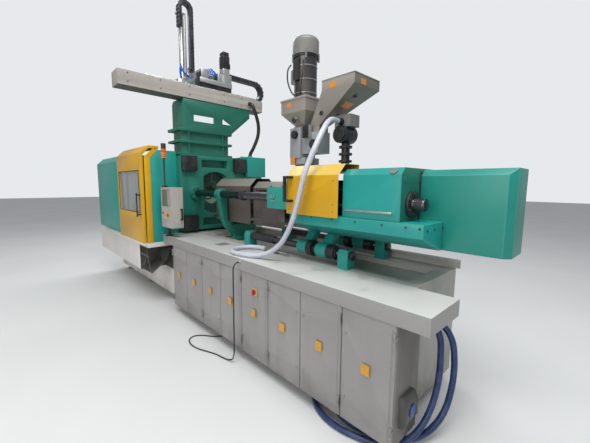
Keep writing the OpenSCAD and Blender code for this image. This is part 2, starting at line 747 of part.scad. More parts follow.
module door_window() color([0.75, 0.82, 0.85, 0.4])
    slab([safety_left + window_side + seat, safety_front + 16, window_z + seat],
         [safety_right - window_side - seat, safety_front + 22, window_z + window_h - seat]);

// Take-out robot: console with two openings, traverse beam, carriage and arms
module console_web(z0, z1) slab([console_x - 330, mid_y - 510, z0], [console_x - 50, mid_y + 285, z1]);
module console_flange(z0, z1) slab([console_x - 400, mid_y - 575, z0], [console_x, mid_y + 330, z1]);
console_slot_y = mid_y - 332;
console_slot_z = console_z + 510;
console_slot_h = 92;
console_far = beam_end - 270;
module robot_console() color(green) {
    console_flange(console_z, console_z + 30);
    console_web(console_z + 30 - tiny, console_z + 180 + tiny);
    console_flange(console_z + 180, console_z + 215);
    console_web(console_z + 215 - tiny, console_z + 350 + tiny);
    console_flange(console_z + 350, console_z + 390);
    for (y = [mid_y - 420, mid_y + 160])
        slab([console_x - 50 - tiny, y, console_z + 30 - tiny], [console_x - 8, y + 16, console_z + 350 + tiny]);
    difference() {
        along_x(console_x - 380, console_x) polygon([
            [mid_y - 500, console_z + 390 - tiny], [mid_y + 330, console_z + 390 - tiny],
            [console_far, console_z + 690], [console_far, beam_z], [mid_y - 480, beam_z],
            [mid_y - 500, beam_z - 60]]);
        along_x(console_x - 365, console_x - 15) polygon([
            [mid_y - 480, console_z + 405], [mid_y + 322, console_z + 405],
            [console_far - 18, console_z + 697], [console_far - 18, beam_z - 15], [mid_y - 470, beam_z - 15],
            [mid_y - 480, beam_z - 60]]);
        slab([console_x - 400, console_slot_y, console_slot_z],
             [console_x + 1, console_slot_y + 335, console_slot_z + console_slot_h]);
        along_x(console_x - 400, console_x + 1) polygon([
            [mid_y + 160, console_slot_z], [mid_y + 350, console_slot_z],
            [mid_y + 160, console_slot_z + console_slot_h + 8]]);
    }
}
// A cable chain: two runs and a half turn between them, with a raised bar on every link
module chain_bar(z) slab([-chain_w / 2 + 6, -link_pitch / 2 + link_inset, min(z, z + link_inset)],
                         [chain_w / 2 - 6, link_pitch / 2 - link_inset, max(z, z + link_inset)]);
module cable_chain(r, top_links, low_links, step) color(black) {
    band = chain_t - link_inset;
    slab([-chain_w / 2, -top_links * link_pitch, r - chain_t / 2], [chain_w / 2, 0, r - chain_t / 2 + band]);
    slab([-chain_w / 2, -low_links * link_pitch, -r + chain_t / 2 - band], [chain_w / 2, 0, -r + chain_t / 2]);
    intersection() {
        difference() {
            bar_x(-chain_w / 2, chain_w / 2, 0, 0, r - chain_t / 2 + band);
            bar_x(-chain_w / 2 - 1, chain_w / 2 + 1, 0, 0, r - chain_t / 2);
        }
        slab([-chain_w, 0, -2 * r], [chain_w, 2 * r, 2 * r]);
    }
    for (i = [0 : top_links - 1])
        translate([0, -(i + 0.5) * link_pitch, 0]) chain_bar(r + chain_t / 2 - link_inset);
    for (i = [0 : low_links - 1])
        translate([0, -(i + 0.5) * link_pitch, 0]) chain_bar(-r - chain_t / 2);
    for (a = [step / 2 : step : 180])
        rotate([-a, 0, 0]) slab([-chain_w / 2 + 6, -link_pitch / 2 + link_inset, r + chain_t / 2 - link_inset - 4],
                                [chain_w / 2 - 6, link_pitch / 2 - link_inset, r + chain_t / 2]);
}
module robot_beam() {
    color(beige) difference() {
        slab([beam_x, beam_y, beam_z], [beam_x + beam_w, beam_end, beam_top]);
        slab([beam_x + beam_w - 14, beam_y - 1, beam_z + 20], [beam_x + beam_w + 1, beam_end + 1, beam_z + 62]);
    }
    color(black) slab([beam_x + beam_w - 30, beam_y + 350, beam_top - tiny], [beam_x + beam_w - 8, beam_end - 100, beam_top + 18]);
    color(black) slab([beam_x + 20, beam_y + 350, beam_top - tiny], [beam_x + 34, beam_end - 100, beam_top + 6.1]);
    color(black) difference() {
        bar_x(beam_x + beam_w - tiny, beam_x + beam_w + 22, beam_end - 290, beam_z + 95, conduit_r + 12);
        bar_x(beam_x + beam_w - 1, beam_x + beam_w + 23, beam_end - 290, beam_z + 95, conduit_r + 3);
    }
    translate([chain_x, chain_bend_y, chain_low + chain_r]) cable_chain(chain_r, 10, 9, bend_step);
}
// Carriage: a saddle over the beam with the arm's guide block and the drive motor
saddle_x = beam_x + 112;
module robot_carriage() {
    color([0.75, 0.76, 0.75]) difference() {
        slab([saddle_x, carriage_y, beam_top + 24], [beam_x + beam_w + 20, carriage_y + carriage_w, carriage_top]);
        slab([saddle_x + 20, carriage_y + 190, beam_top + 60], [beam_x + beam_w - 10, carriage_y + carriage_w - 60, carriage_top - 20]);
    }
    color([0.75, 0.76, 0.75]) slab([beam_x + beam_w + seat, carriage_y + 20, beam_z + 80], [beam_x + beam_w + 20, carriage_y + carriage_w - 20, beam_top + 24 + tiny]);
    color([0.75, 0.76, 0.75]) slab([saddle_x, carriage_y + 390, carriage_top - tiny], [beam_x + beam_w + 20, carriage_y + 500, carriage_top + 110]);
    color(black) {
        bar_z(carriage_top + 110 - tiny, carriage_top + 330, beam_x + beam_w - 60, carriage_y + 445, 52);
        bar_z(carriage_top + 250, carriage_top + 310, beam_x + beam_w - 60, carriage_y + 445, 60);
        for (dy = [100, carriage_w - 100])
            slab([beam_x + beam_w - 28, carriage_y + dy - 60, beam_top + 18 + seat],
                 [beam_x + beam_w - 10, carriage_y + dy + 60, beam_top + 24 + tiny]);
    }
}
demould_end = arm_x - 130;
module demould_arm() color([0.70, 0.71, 0.70]) {
    difference() {
        slab([demould_end + 120, arm_y - demould_w / 2, demould_z], [beam_x + beam_w + 10, arm_y + demould_w / 2, demould_z + demould_h]);
        slab([demould_end + 260, arm_y - demould_w / 2 - 1, demould_z + 40],
             [beam_x - 20, arm_y - demould_w / 2 + 14, demould_z + demould_h - 40]);
        slab([arm_x - arm_side / 2 - seat, arm_y - arm_side / 2 - seat, demould_z - 1], [arm_x + arm_side / 2 + seat, arm_y + arm_side / 2 + seat, demould_z + demould_h + 1]);
    }
    difference() {
        slab([demould_end, arm_y - 120, demould_z - 60],
             [arm_x + arm_side / 2 + 13, arm_y + 120, demould_z + demould_h]);
        slab([arm_x - arm_side / 2 - seat, arm_y - arm_side / 2 - seat, demould_z - 61],
             [arm_x + arm_side / 2 + seat, arm_y + arm_side / 2 + seat, demould_z + demould_h + 1]);
    }
}
arm_top = arm_z + arm_len;
arm_chain_x = arm_x + arm_side / 2 + 17 + chain_w / 2;
arm_chain_r = 97;
arm_chain_z = arm_top + 33;
arm_bracket = 40;
arm_bend_step = 36;
module vertical_arm() {
    color([0.80, 0.81, 0.80]) {
        difference() {
            slab([arm_x - arm_side / 2, arm_y - arm_side / 2, arm_z], [arm_x + arm_side / 2, arm_y + arm_side / 2, arm_top]);
            slab([arm_x + arm_side / 2 - 10, arm_y - 12, arm_z + 100], [arm_x + arm_side / 2 + 1, arm_y + 12, arm_top - 30]);
        }
        difference() {
            bar_z(arm_z - 26, arm_z + tiny, arm_x, arm_y, 72);
            for (a = [45 : 90 : 315])
                bar_z(arm_z - 27, arm_z - 8, arm_x + 52 * cos(a), arm_y + 52 * sin(a), 5);
        }
        slab([arm_x - 20, arm_y - arm_chain_r - 10, arm_top - arm_bracket],
             [arm_chain_x - chain_w / 2 + tiny, arm_y - arm_chain_r + 10, arm_top]);
        slab([arm_x - 20, arm_y - arm_chain_r - 10, arm_top - arm_bracket],
             [arm_x + 20, arm_y - arm_side / 2 + tiny, arm_top]);
    }
    translate([arm_chain_x, arm_y, arm_chain_z]) rotate([90, 0, 0]) cable_chain(arm_chain_r, 5, 16, arm_bend_step);
}

// Guide bars: two upper columns held in the fixed platen, two lower rods on brackets
sleeve_r = 46;
module guide_bars() color(black) {
    for (side = [-1, 1]) {
        bar_x(fixed_back - 98, column_end, mid_y + side * column_off, axis_z, column_r);
        bar_x(1040, 1098, mid_y + side * column_off, axis_z, column_r + 20);
        bar_x(bracket_left - 20, bracket_right + bracket_len + 30, mid_y + side * rod_off, rod_z, rod_r);
        bar_x(bracket_left + bracket_len + seat, 1670, mid_y + side * rod_off, rod_z, sleeve_r);
    }
}
// Yoke: a cast fork that carries both columns around the barrel's guard
yoke_x = 475;
yoke_len = 90;
yoke_wall = 30;
yoke_path = [[column_off + 62, 0], [column_off + 27, -170], [318, -360], [240, -500], [150, -575], [150, -655]];
yoke_inner = [[110, -655], [110, -490], [170, -440], [240, -395], [258, -200], [column_off - 62, 0]];
module column_yoke() color(green) difference() {
    union() {
        both_sides() along_x(yoke_x, yoke_x + yoke_len) polygon([
            for (p = concat(yoke_path, yoke_inner)) [mid_y - p[0], axis_z + p[1]]]);
        slab([yoke_x, mid_y - 150, axis_z - 560], [yoke_x + yoke_len, mid_y + 150, axis_z - 440]);
        slab([yoke_x - 60, mid_y - 200, bed_top - tray_depth], [yoke_x + yoke_len + 60, mid_y + 200, axis_z - 620]);
        slab([yoke_x, mid_y - 150, axis_z - 655], [yoke_x + yoke_len, mid_y + 150, axis_z - 500]);
        for (side = [-1, 1])
            bar_x(yoke_x - 15, yoke_x + yoke_len + 15, mid_y + side * column_off, axis_z, column_r + yoke_wall);
    }
    for (side = [-1, 1])
        bar_x(yoke_x - 16, yoke_x + yoke_len + 16, mid_y + side * column_off, axis_z, column_r + seat);
}
bracket_bolt = 9;
module rod_bracket(x) difference() {
    union() {
        slab([x, mid_y - rod_off - 55, bed_top], [x + bracket_len, mid_y - rod_off + 55, rod_z]);
        bar_x(x, x + bracket_len, mid_y - rod_off, rod_z, 55);
        for (dx = [28, bracket_len - 28])
            for (dy = [-34, 34])
                bar_z(rod_z + 30, rod_z + 62, x + dx, mid_y - rod_off + dy, bracket_bolt);
        slab([x + 6, mid_y - rod_off - 48, rod_z - 10], [x + bracket_len - 6, mid_y - rod_off + 48, rod_z + 52]);
    }
    bar_x(x - 1, x + bracket_len + 1, mid_y - rod_off, rod_z, rod_r + seat);
}
module rod_brackets() color(green)
    both_sides() {
        rod_bracket(bracket_left);
        rod_bracket(bracket_right);
    }

// Carriage trough: the injection unit's welded base with sloped sides
trough_outline = [
    [mid_y - trough_flat, trough_bottom], [mid_y + trough_flat, trough_bottom],
    [mid_y + trough_half, trough_lip], [mid_y + trough_half, trough_top],
    [mid_y - trough_half, trough_top], [mid_y - trough_half, trough_lip]];
front_plate = 120;
module carriage_trough() color(green) difference() {
    union() {
        along_x(trough_x, trough_end) polygon(trough_outline);
        slab([trough_x, mid_y - 200, trough_top - tiny], [trough_x + front_plate, mid_y + 200, axis_z + 190]);
    }
    bar_x(trough_x - 1, trough_x + front_plate + 1, mid_y, axis_z, screw_r + 30);
    slab([trough_x + front_plate, mid_y - 150, trough_bottom + 60], [hood_end - 10, mid_y + 150, trough_top + 1]);
    slab([drive_x - seat, mid_y - drive_half - seat, trough_bottom - 1],
         [trough_end + 1, mid_y + drive_half + seat, trough_top + 1]);
    for (side = [-1, 1])
        bar_x(trough_x - 1, hood_end, mid_y + side * column_off, axis_z, disc_r + 4);
}
// Green hood over the carriage, with an access opening behind the sliding cover
function hood_outline(inset) = [
    [mid_y - hood_half + inset, trough_top + seat], [mid_y - hood_half + inset, hood_shoulder - inset * 0.414],
    [mid_y - hood_half + hood_chamfer + inset * 0.414, hood_top - inset],
    [mid_y + hood_half - hood_chamfer - inset * 0.414, hood_top - inset],
    [mid_y + hood_half - inset, hood_shoulder - inset * 0.414], [mid_y + hood_half - inset, trough_top + seat]];
module green_hood() color(green) {
    difference() {
        along_x(hood_x, hood_end) polygon(hood_outline(0));
        along_x(hood_x - 1, hood_end - hood_sheet) polygon([
            for (p = hood_outline(hood_sheet)) [p[0], p[1] < trough_top + 1 ? trough_top : p[1]]]);
        slab([hood_x - 1, mid_y - hood_half - 1, trough_top], [access_end, mid_y - spine_half, hood_top + 1]);
        for (side = [-1, 1])
            bar_x(hood_end - 20, hood_end + 1, mid_y + side * column_off, axis_z, disc_r + seat);
    }
    color(steel) slab([access_end + 20, mid_y - hood_half - 16, 1655], [hood_end - 60, mid_y - hood_half + tiny, 1670]);
}
module drive_box() color(green)
    difference() {
        along_x(drive_x, drive_end) polygon([
            [mid_y - drive_half, trough_bottom], [mid_y + drive_half, trough_bottom],
            [mid_y + drive_half, hood_top - 10 - drive_chamfer], [mid_y + drive_half - drive_chamfer, hood_top - 10],
            [mid_y - drive_half + drive_chamfer, hood_top - 10], [mid_y - drive_half, hood_top - 10 - drive_chamfer]]);
        for (side = [-1, 1])
            translate([drive_end, mid_y + side * drive_half, 0]) rotate([0, 0, 45])
                slab([-drive_chamfer * 0.707, -drive_chamfer * 0.707, 0], [drive_chamfer * 0.707, drive_chamfer * 0.707, hood_top]);
    }
// Injection cylinders: square head, round body and black end disc, running on the columns
module injection_cylinders()
    for (side = [-1, 1]) difference() {
        y = mid_y + side * column_off;
        union() {
            color(green) slab([head_x, y - cyl_head / 2, axis_z - cyl_head / 2],
                              [trough_x - 20, y + cyl_head / 2, axis_z + cyl_head / 2]);
            color(black) bar_x(head_x - 22, head_x + tiny, y, axis_z, cyl_head / 2 - 10);
            color(steel) bar_x(trough_x - 20 - tiny, hood_end, y, axis_z, disc_r - 2);
            color(black) bar_x(hood_end - tiny, hood_end + disc_t, y, axis_z, disc_r);
            color(black) for (a = [30 : 60 : 330])
                bar_x(hood_end + disc_t - tiny, hood_end + disc_t + 8, y + 78 * cos(a), axis_z + 78 * sin(a), 9);
        }
        bar_x(head_x - 23, hood_end + disc_t + 10, y, axis_z, column_r + run_fit);
    }
// Carriage bearings: collars on the lower rods, each with a hanger up to the trough
module carriage_bearings() color(green)
    both_sides() difference() {
        union() {
            for (x = [collar_x, collar_x + collar_len + collar_gap]) {
                bar_x(x, x + collar_len, mid_y - rod_off, rod_z, collar_r);
                along_x(x + 15, x + collar_len - 15) polygon([
                    [mid_y - rod_off, rod_z + 30], [mid_y - rod_off + 50, rod_z - 30],
                    [mid_y - trough_flat + 90, trough_bottom], [mid_y - trough_flat + 4, trough_bottom]]);
            }
            color(black) bar_x(collar_x + collar_len - tiny, collar_x + collar_len + 70, mid_y - rod_off, rod_z, collar_r + 6);
            color(black) bar_x(collar_x + collar_len + 70 - tiny, collar_x + collar_len + collar_gap + tiny, mid_y - rod_off, rod_z, rod_r + 14);
            color(black) bar_x(collar_x + 2 * collar_len + collar_gap - tiny, collar_x + 2 * collar_len + collar_gap + 95, mid_y - rod_off, rod_z, collar_r - 6);
        }
        bar_x(collar_x - 1, collar_x + 2 * collar_len + collar_gap + 96, mid_y - rod_off, rod_z, rod_r + run_fit);
    }
// Barrel with heater bands, nozzle and feed throat
module barrel() {
    difference() {
        union() {
            color(steel) bar_x(barrel_front, trough_x, mid_y, axis_z, barrel_r);
            color(steel) bar_x(trough_x - tiny, trough_x + front_plate - 20, mid_y, axis_z, screw_r + 30 - seat);
            color(steel) translate([barrel_front + tiny, mid_y, axis_z]) rotate([0, -90, 0])
                cylinder(h = 60, r1 = barrel_r, r2 = 38);
            color(steel) bar_x(barrel_front - 100, barrel_front - 59, mid_y, axis_z, 38);
            color(steel) translate([barrel_front - 100 + tiny, mid_y, axis_z]) rotate([0, -90, 0])
                cylinder(h = 15, r1 = 38, r2 = 16);
            color(taupe) for (i = [0 : 7])
                bar_x(20 + i * 190, 180 + i * 190, mid_y, axis_z, barrel_r + 24);
        }
        bar_x(barrel_front + 20, trough_x + front_plate, mid_y, axis_z, screw_r + run_fit);
        bar_x(nozzle_tip - 1, barrel_front + 21, mid_y, axis_z, 6);
        bar_z(axis_z, axis_z + barrel_r + 1, throat_x, mid_y, 40);
    }
}
// Covers over the barrel: the slotted one is fixed, the nozzle hood slides back over it
slotted_half = nozzle_hood_w / 2 - 16;
slotted_top = hood_peak - 40;
slotted_cut = 80;
guide_z = hood_z + 55;
guide_h = 30;
guide_out = nozzle_hood_w / 2 - cover_sheet - 2;
function slotted_outline(inset) =
    let (h = slotted_half - inset) [
        [mid_y - h, hood_z + 6], [mid_y - h, slotted_top - slotted_cut - inset * 0.414],
        [mid_y - slotted_half + slotted_cut + inset * 0.414, slotted_top - inset],
        [mid_y + slotted_half - slotted_cut - inset * 0.414, slotted_top - inset],
        [mid_y + h, slotted_top - slotted_cut - inset * 0.414], [mid_y + h, hood_z + 6]];
module slotted_cover() color(taupe) {
    difference() {
        along_x(slotted_x, slotted_end) polygon(slotted_outline(0));
        along_x(slotted_x - 1, slotted_end + 1) polygon([
            for (p = slotted_outline(cover_sheet)) [p[0], p[1] < hood_z + 7 ? hood_z : p[1]]]);
        for (i = [0, 1])
            for (k = [0 : 3])
                slab([slotted_x + 50 + i * 280, mid_y - slotted_half - 1, axis_z - 50 + k * 34],
                     [slotted_x + 270 + i * 280, mid_y - slotted_half + cover_sheet + 1, axis_z - 36 + k * 34]);
    }
    for (side = [-1, 1])
        let (a = mid_y + side * guide_out, b = mid_y + side * (slotted_half - cover_sheet - 6))
            slab([hood_left + 10, min(a, b), guide_z], [trough_x - seat, max(a, b), guide_z + guide_h]);
}
function nozzle_outline(inset) =
    let (h = nozzle_hood_w / 2 - inset) [
        [mid_y - h, hood_z], [mid_y - h, hood_peak - hood_cut - inset * 0.414],
        [mid_y - h + hood_cut + inset * 0.414 - inset, hood_peak - inset],
        [mid_y + h - hood_cut - inset * 0.414 + inset, hood_peak - inset],
        [mid_y + h, hood_peak - hood_cut - inset * 0.414], [mid_y + h, hood_z]];
module nozzle_hood() color(taupe) {
    difference() {
        along_x(hood_left, hood_right) polygon(nozzle_outline(0));
        along_x(hood_left - 1, hood_right + 1) polygon([
            for (p = nozzle_outline(cover_sheet)) [p[0], p[1] < hood_z + 1 ? hood_z - 1 : p[1]]]);
    }
    for (side = [-1, 1])
        let (a = mid_y + side * (nozzle_hood_w / 2 - tiny), b = mid_y + side * (slotted_half + 4))
            slab([hood_left + 10, min(a, b), guide_z + guide_h + seat],
                 [hood_right - 10, max(a, b), guide_z + guide_h + seat + 6]);
}
// Yellow sliding cover in front of the carriage, with its U handle
yellow_bottom = 1587;
yellow_chamfer = 95;
yellow_flap = mid_y - spine_half + 90;
handle_y = yellow_y - 40;
function yellow_outline(inset) = [
    [yellow_y + inset, yellow_bottom], [yellow_y + inset, hood_shoulder + 2 - inset * 0.414],
    [yellow_y + yellow_chamfer + inset * 0.414, hood_shoulder + 2 + yellow_chamfer - inset],
    [yellow_flap, hood_shoulder + 2 + yellow_chamfer - inset]];
module yellow_cover() {
    color(yellow) difference() {
        along_x(yellow_x, yellow_end) polygon(concat(yellow_outline(0), [[yellow_flap, yellow_bottom]]));
        along_x(yellow_x - 1, yellow_end + 1) polygon(concat(
            [for (p = yellow_outline(cover_sheet)) [p[0], p[1] < yellow_bottom + 1 ? yellow_bottom - 1 : p[1]]],
            [[yellow_flap + 1, hood_shoulder + 2 + yellow_chamfer - cover_sheet], [yellow_flap + 1, yellow_bottom - 1]]));
    }
    color(yellow) slab([yellow_x, yellow_flap - cover_sheet, hood_top + seat],
                       [yellow_end, yellow_flap, hood_shoulder + yellow_chamfer]);
    color(black) {
        slab([yellow_x + 4, handle_y - 12, 1700], [yellow_x + 30, handle_y + 12, 1945]);
        for (z = [1700, 1921])
            slab([yellow_x + 4, handle_y - 12, z], [yellow_x + 96, yellow_y + tiny, z + 24]);
    }
}
// Crosshead that drives the screw, and the screw in the barrel
crosshead_x = trough_x + front_plate + 60;
crosshead_len = 180;
module crosshead() color(dark_green) difference() {
    slab([crosshead_x, mid_y - 140, trough_bottom + 60 + seat], [crosshead_x + crosshead_len, mid_y + 140, axis_z + 130]);
    bar_x(crosshead_x - 1, crosshead_x + crosshead_len + 1, mid_y, axis_z, screw_r + run_fit);
}
module screw() color(steel) difference() {
    union() {
        bar_x(barrel_front + 40, crosshead_x + crosshead_len + 60, mid_y, axis_z, screw_r);
        bar_x(crosshead_x + crosshead_len + seat, crosshead_x + crosshead_len + 30, mid_y, axis_z, screw_r + 25);
        bar_x(crosshead_x - 30, crosshead_x - seat, mid_y, axis_z, screw_r + 25);
    }
    for (x = [barrel_front + 90 : 60 : 1700])
        translate([x, mid_y, axis_z]) rotate([0, 90, 0]) difference() {
            cylinder(h = 44, r = screw_r + 1);
            translate([0, 0, -1]) cylinder(h = 46, r = screw_r - 12);
        }
}

// Material feeding: throat and dosing unit, two hoppers, a loader and the blower
module dosing_unit() {
    color([0.42, 0.43, 0.30]) difference() {
        union() {
            slab([throat_x - 75, mid_y - 75, axis_z + barrel_r + seat], [throat_x + 75, mid_y + 75, throat_top]);
            slab([throat_x - 115, mid_y - 115, throat_top - tiny], [throat_x + 115, mid_y + 115, dosing_z + tiny]);
        }
        bar_z(axis_z, dosing_z - 20, throat_x, mid_y, 40);
    }
    color([0.52, 0.54, 0.55]) {
        slab([throat_x - 105, mid_y - 130, dosing_z], [throat_x + 60, mid_y + 110, dosing_top]);
        bar_y(mid_y - 160, mid_y - 130 + tiny, throat_x - 20, dosing_top - 75, 44);
        slab([throat_x + 60 - tiny, mid_y - 100, dosing_z + 40], [throat_x + 290, mid_y + 90, dosing_z + 260]);
        bar_y(mid_y - 140, mid_y - 100 + tiny, throat_x + 250, dosing_z + 130, 50);
        slab([throat_x + 110, mid_y - 150, dosing_z + 200], [throat_x + 200, mid_y - 100 + tiny, dosing_z + 330]);
    }
}
module small_hopper() color(beige) {
    half = small_side / 2;
    slab([throat_x - half, mid_y - half, small_z], [throat_x + half, mid_y + half, small_top]);
    slab([throat_x - half - 8, mid_y - half - 8, small_top - 14], [throat_x + half + 8, mid_y + half + 8, small_top + 6]);
    hull() {
        slab([throat_x - half, mid_y - half, small_z - 1], [throat_x + half, mid_y + half, small_z + tiny]);
        slab([throat_x - 70, mid_y - 70, dosing_top + 20], [throat_x + 60, mid_y + 70, dosing_top + 22]);
    }
    slab([throat_x - 90, mid_y - 90, dosing_top + seat], [throat_x + 60, mid_y + 90, dosing_top + 21]);
    for (y = [mid_y - 152])
        translate([throat_x + 20, y, small_z - 70]) rotate([62, 0, 0]) cylinder(h = 20, r = 26);
}
// Large hopper: an open sheet metal mouth over a slanted funnel that leads to the dosing unit
large_foot = [[throat_x + 140, mid_y - 70], [throat_x + 280, mid_y + 70]];
large_foot_z = dosing_z + 262;
module large_volume(t) {
    slab([large_x + t, large_y + t, large_rim - tiny], [large_x + large_len - t, large_y + large_w - t, large_top + (t > 0 ? 1 : 0)]);
    hull() {
        slab([large_x + t, large_y + t, large_rim - 1], [large_x + large_len - t, large_y + large_w - t, large_rim + tiny]);
        slab([large_foot[0][0] + t, large_foot[0][1] + t, large_foot_z + 60 + t], [large_foot[1][0] - t, large_foot[1][1] - t, large_foot_z + 61 + t]);
    }
}
module large_hopper() color(beige) {
    difference() {
        large_volume(0);
        large_volume(hopper_sheet);
    }
    slab([large_foot[0][0], large_foot[0][1], large_foot_z], [large_foot[1][0], large_foot[1][1], large_foot_z + 60 + tiny]);
    slab([large_foot[0][0] - 10, large_foot[0][1] - 10, dosing_z + 260 + seat], [large_foot[1][0] + 10, large_foot[1][1] + 10, large_foot_z + tiny]);
    for (dx = [60, large_len - 60])
        difference() {
            bar_x(large_x + dx - 20, large_x + dx + 20, large_y + large_w + 12, large_top + 8, 7);
            bar_x(large_x + dx - 21, large_x + dx + 21, large_y + large_w + 12, large_top + 8, 4 + run_fit);
        }
    for (dx = [60, large_len - 60])
        slab([large_x + dx - 20, large_y + large_w - tiny, large_top - 40], [large_x + dx + 20, large_y + large_w + 8, large_top + 3]);
}
module hopper_lid() color(beige) {
    slab([large_x - 4, large_y - 4, large_top + seat], [large_x + large_len + 4, large_y + large_w - 2, large_top + 6]);
    slab([large_x + 100, large_y + large_w - 2 - tiny, large_top + 1], [large_x + large_len - 100, large_y + large_w + 12, large_top + 6]);
    bar_x(large_x + 38, large_x + large_len - 38, large_y + large_w + 12, large_top + 8, 4);
    bar_x(large_x + 84, large_x + large_len - 84, large_y + large_w + 12, large_top + 8, 6);
}
loader_z = small_top + 6;
loader_split = small_top + 474;
cap_side_h = 140;
cap_round = 50;
module small_loader() {
    color(steel) {
        bar_z(loader_z + seat, loader_z + 20, throat_x, mid_y, loader_r + 25);
        bar_z(loader_z + 20 - tiny, loader_split - 26, throat_x, mid_y, loader_r);
        slab([throat_x - 30, mid_y - loader_r - 40, loader_z + 190], [throat_x + 40, mid_y - loader_r + 30, loader_split - 60]);
    }
    color(black) bar_z(loader_split - 26 - tiny, loader_split, throat_x, mid_y, loader_r + 14);
    color(warm_white) {
        slab([throat_x - loader_r - 60, mid_y - 50, loader_z + 210], [throat_x - loader_r + 10, mid_y + 30, loader_z + 360]);
        translate([throat_x, mid_y, loader_split - tiny]) rotate_extrude() union() {
            square([loader_cap_r, cap_side_h]);
            square([loader_cap_r - cap_round, cap_side_h + cap_round]);
            translate([loader_cap_r - cap_round, cap_side_h]) circle(r = cap_round);
        }
    }
}
blower_y = mid_y;
module blower() {
    color(black) {
        slab([blower_x - 110, blower_y - 110, hood_top + seat], [blower_x + 110, blower_y + 110, hood_top + 20]);
        bar_z(hood_top + 20 - tiny, 2300, blower_x, blower_y, 42);
        for (z = [2090, 2160, 2230])
            bar_z(z, z + 22, blower_x, blower_y, 66);
        bar_y(blower_y - 100, blower_y + 80, blower_x, 2360, 86);
        bar_y(blower_y - 112, blower_y - 100 + tiny, blower_x, 2360, 66);
    }
    color(warm_white) slab([blower_x - 90, blower_y - 70, 2430], [blower_x + 100, blower_y + 80, 2545]);
    color(black) difference() {
        bar_y(blower_y - 130, blower_y - 70 + tiny, blower_x, 2480, hose_r + 6);
        bar_y(blower_y - 131, blower_y - 119 + tiny, blower_x, 2480, hose_r + 2);
    }
}

// Operator panel on a swivelling post, with its emergency stop and signal tower
module control_panel() {
    color(warm_white) difference() {
        slab([panel_x, panel_y, panel_z], [panel_x + panel_w, panel_y + panel_d, panel_z + panel_h]);
        slab([panel_x + 25, panel_y - 1, panel_z + 290], [panel_x + panel_w - 25, panel_y + 8, panel_z + panel_h - 30]);
        bar_y(panel_y - 1, panel_y + 20, stop_x, stop_z, 8 + run_fit);
    }
    color(black) {
        bar_z(bed_top + 14, panel_z + tiny, post_x, post_y, post_r);
        bar_z(bed_top + seat, bed_top + 14 + tiny, post_x, post_y, 60);
        for (z = [panel_z + 110, panel_z + 250])
            slab([panel_x + panel_w - tiny, panel_y + 120, z], [panel_x + panel_w + 42, panel_y + 142, z + 20]);
        slab([panel_x + panel_w + 30, panel_y + 120, panel_z + 110], [panel_x + panel_w + 44, panel_y + 142, panel_z + 270]);
    }
}
stop_x = panel_x + 255;
stop_z = panel_z + 180;
module emergency_stop() color([0.7, 0.06, 0.05]) {
    bar_y(panel_y - 26, panel_y - 12, stop_x, stop_z, stop_r);
    bar_y(panel_y - 12 - tiny, panel_y + 10, stop_x, stop_z, 8);
}
module signal_tower() {
    tower_z = panel_z + panel_h + seat;
    color(black) {
        bar_z(tower_z, tower_z + 22, tower_x, tower_y, 40);
        bar_z(tower_z + 22 - tiny, 2213, tower_x, tower_y, 10);
        bar_z(2212, 2218, tower_x, tower_y, 33);
        bar_z(2348, 2422, tower_x, tower_y, 33);
    }
    color(orange) bar_z(2218 - tiny, 2284, tower_x, tower_y, 32);
    color([0.65, 0.07, 0.06]) bar_z(2284 - tiny, 2348 + tiny, tower_x, tower_y, 32);
}
flap_x = cabinet_len + 56 + seat;
module socket_flap() color(blue) {
    bar_x(flap_x, flap_x + 8, socket_y, socket_z, 38);
    slab([flap_x, socket_y - 16, socket_z + 30], [flap_x + 8, socket_y + 16, socket_z + 48]);
    bar_y(socket_y - 16, socket_y + 16, flap_x + 8, socket_z + 48, 3.5);
}

// Cords
module suction_hose() color([0.80, 0.82, 0.88]) swept_tube(suction_route, hose_r, 10);
module suction_lance() color([0.38, 0.40, 0.30]) {
    bar_x(1600, 1640, lance_y, hose_z, hose_r + 0.5);
    bar_x(1640 - tiny, 1830, lance_y, hose_z, hose_r - 1);
    bar_x(1830 - tiny, 1980, lance_y, hose_z, 12);
}
module floor_cable() color(black) swept_tube(cable_route, cable_r, 8);
module blue_hose_1() color(blue) swept_tube(blue_route_1, blue_r, 10);
module blue_hose_2() color(blue) swept_tube(blue_route_2, blue_r, 10);
module robot_conduit() color(black) swept_tube(conduit_route, conduit_r, 10);

placed() clamp_bed();
placed() injection_bed();
placed() switch_cabinet();
placed() worktop();
placed() door_hinges();
placed() levelling_feet();
placed() fixed_platen();
placed() tie_bars();
placed() tie_bar_caps();
placed() rear_platen();
placed() guard_shell();
placed() guard_ends();
placed() robot_console();
placed() robot_beam();
placed() guide_bars();
placed() column_yoke();
placed() rod_brackets();
placed() cabinet_door(0);  // door_1
placed() cabinet_door(1);  // door_2
placed() cabinet_door(2);  // door_3
placed() cabinet_door(3);  // door_4
placed() { cabinet_door(4); switch_plate(); }  // door_5
placed() cabinet_door(5);  // door_6
placed() cabinet_door(6);  // door_7
placed() cabinet_door(7);  // door_8
placed() main_switch();
placed() moving_platen();
placed() ejector();
placed() safety_door();
placed() door_window();
placed() robot_carriage();
placed() demould_arm();
placed() vertical_arm();
placed() carriage_trough();
placed() green_hood();
placed() drive_box();
placed() injection_cylinders();
placed() carriage_bearings();
placed() barrel();
placed() slotted_cover();
placed() nozzle_hood();
placed() yellow_cover();
placed() crosshead();
placed() screw();
placed() dosing_unit();
placed() small_hopper();
placed() large_hopper();
placed() hopper_lid();
placed() small_loader();
placed() blower();
placed() control_panel();
placed() emergency_stop();
placed() signal_tower();
placed() socket_flap();
placed() suction_hose();
placed() suction_lance();
placed() floor_cable();
placed() blue_hose_1();
placed() blue_hose_2();
placed() robot_conduit();
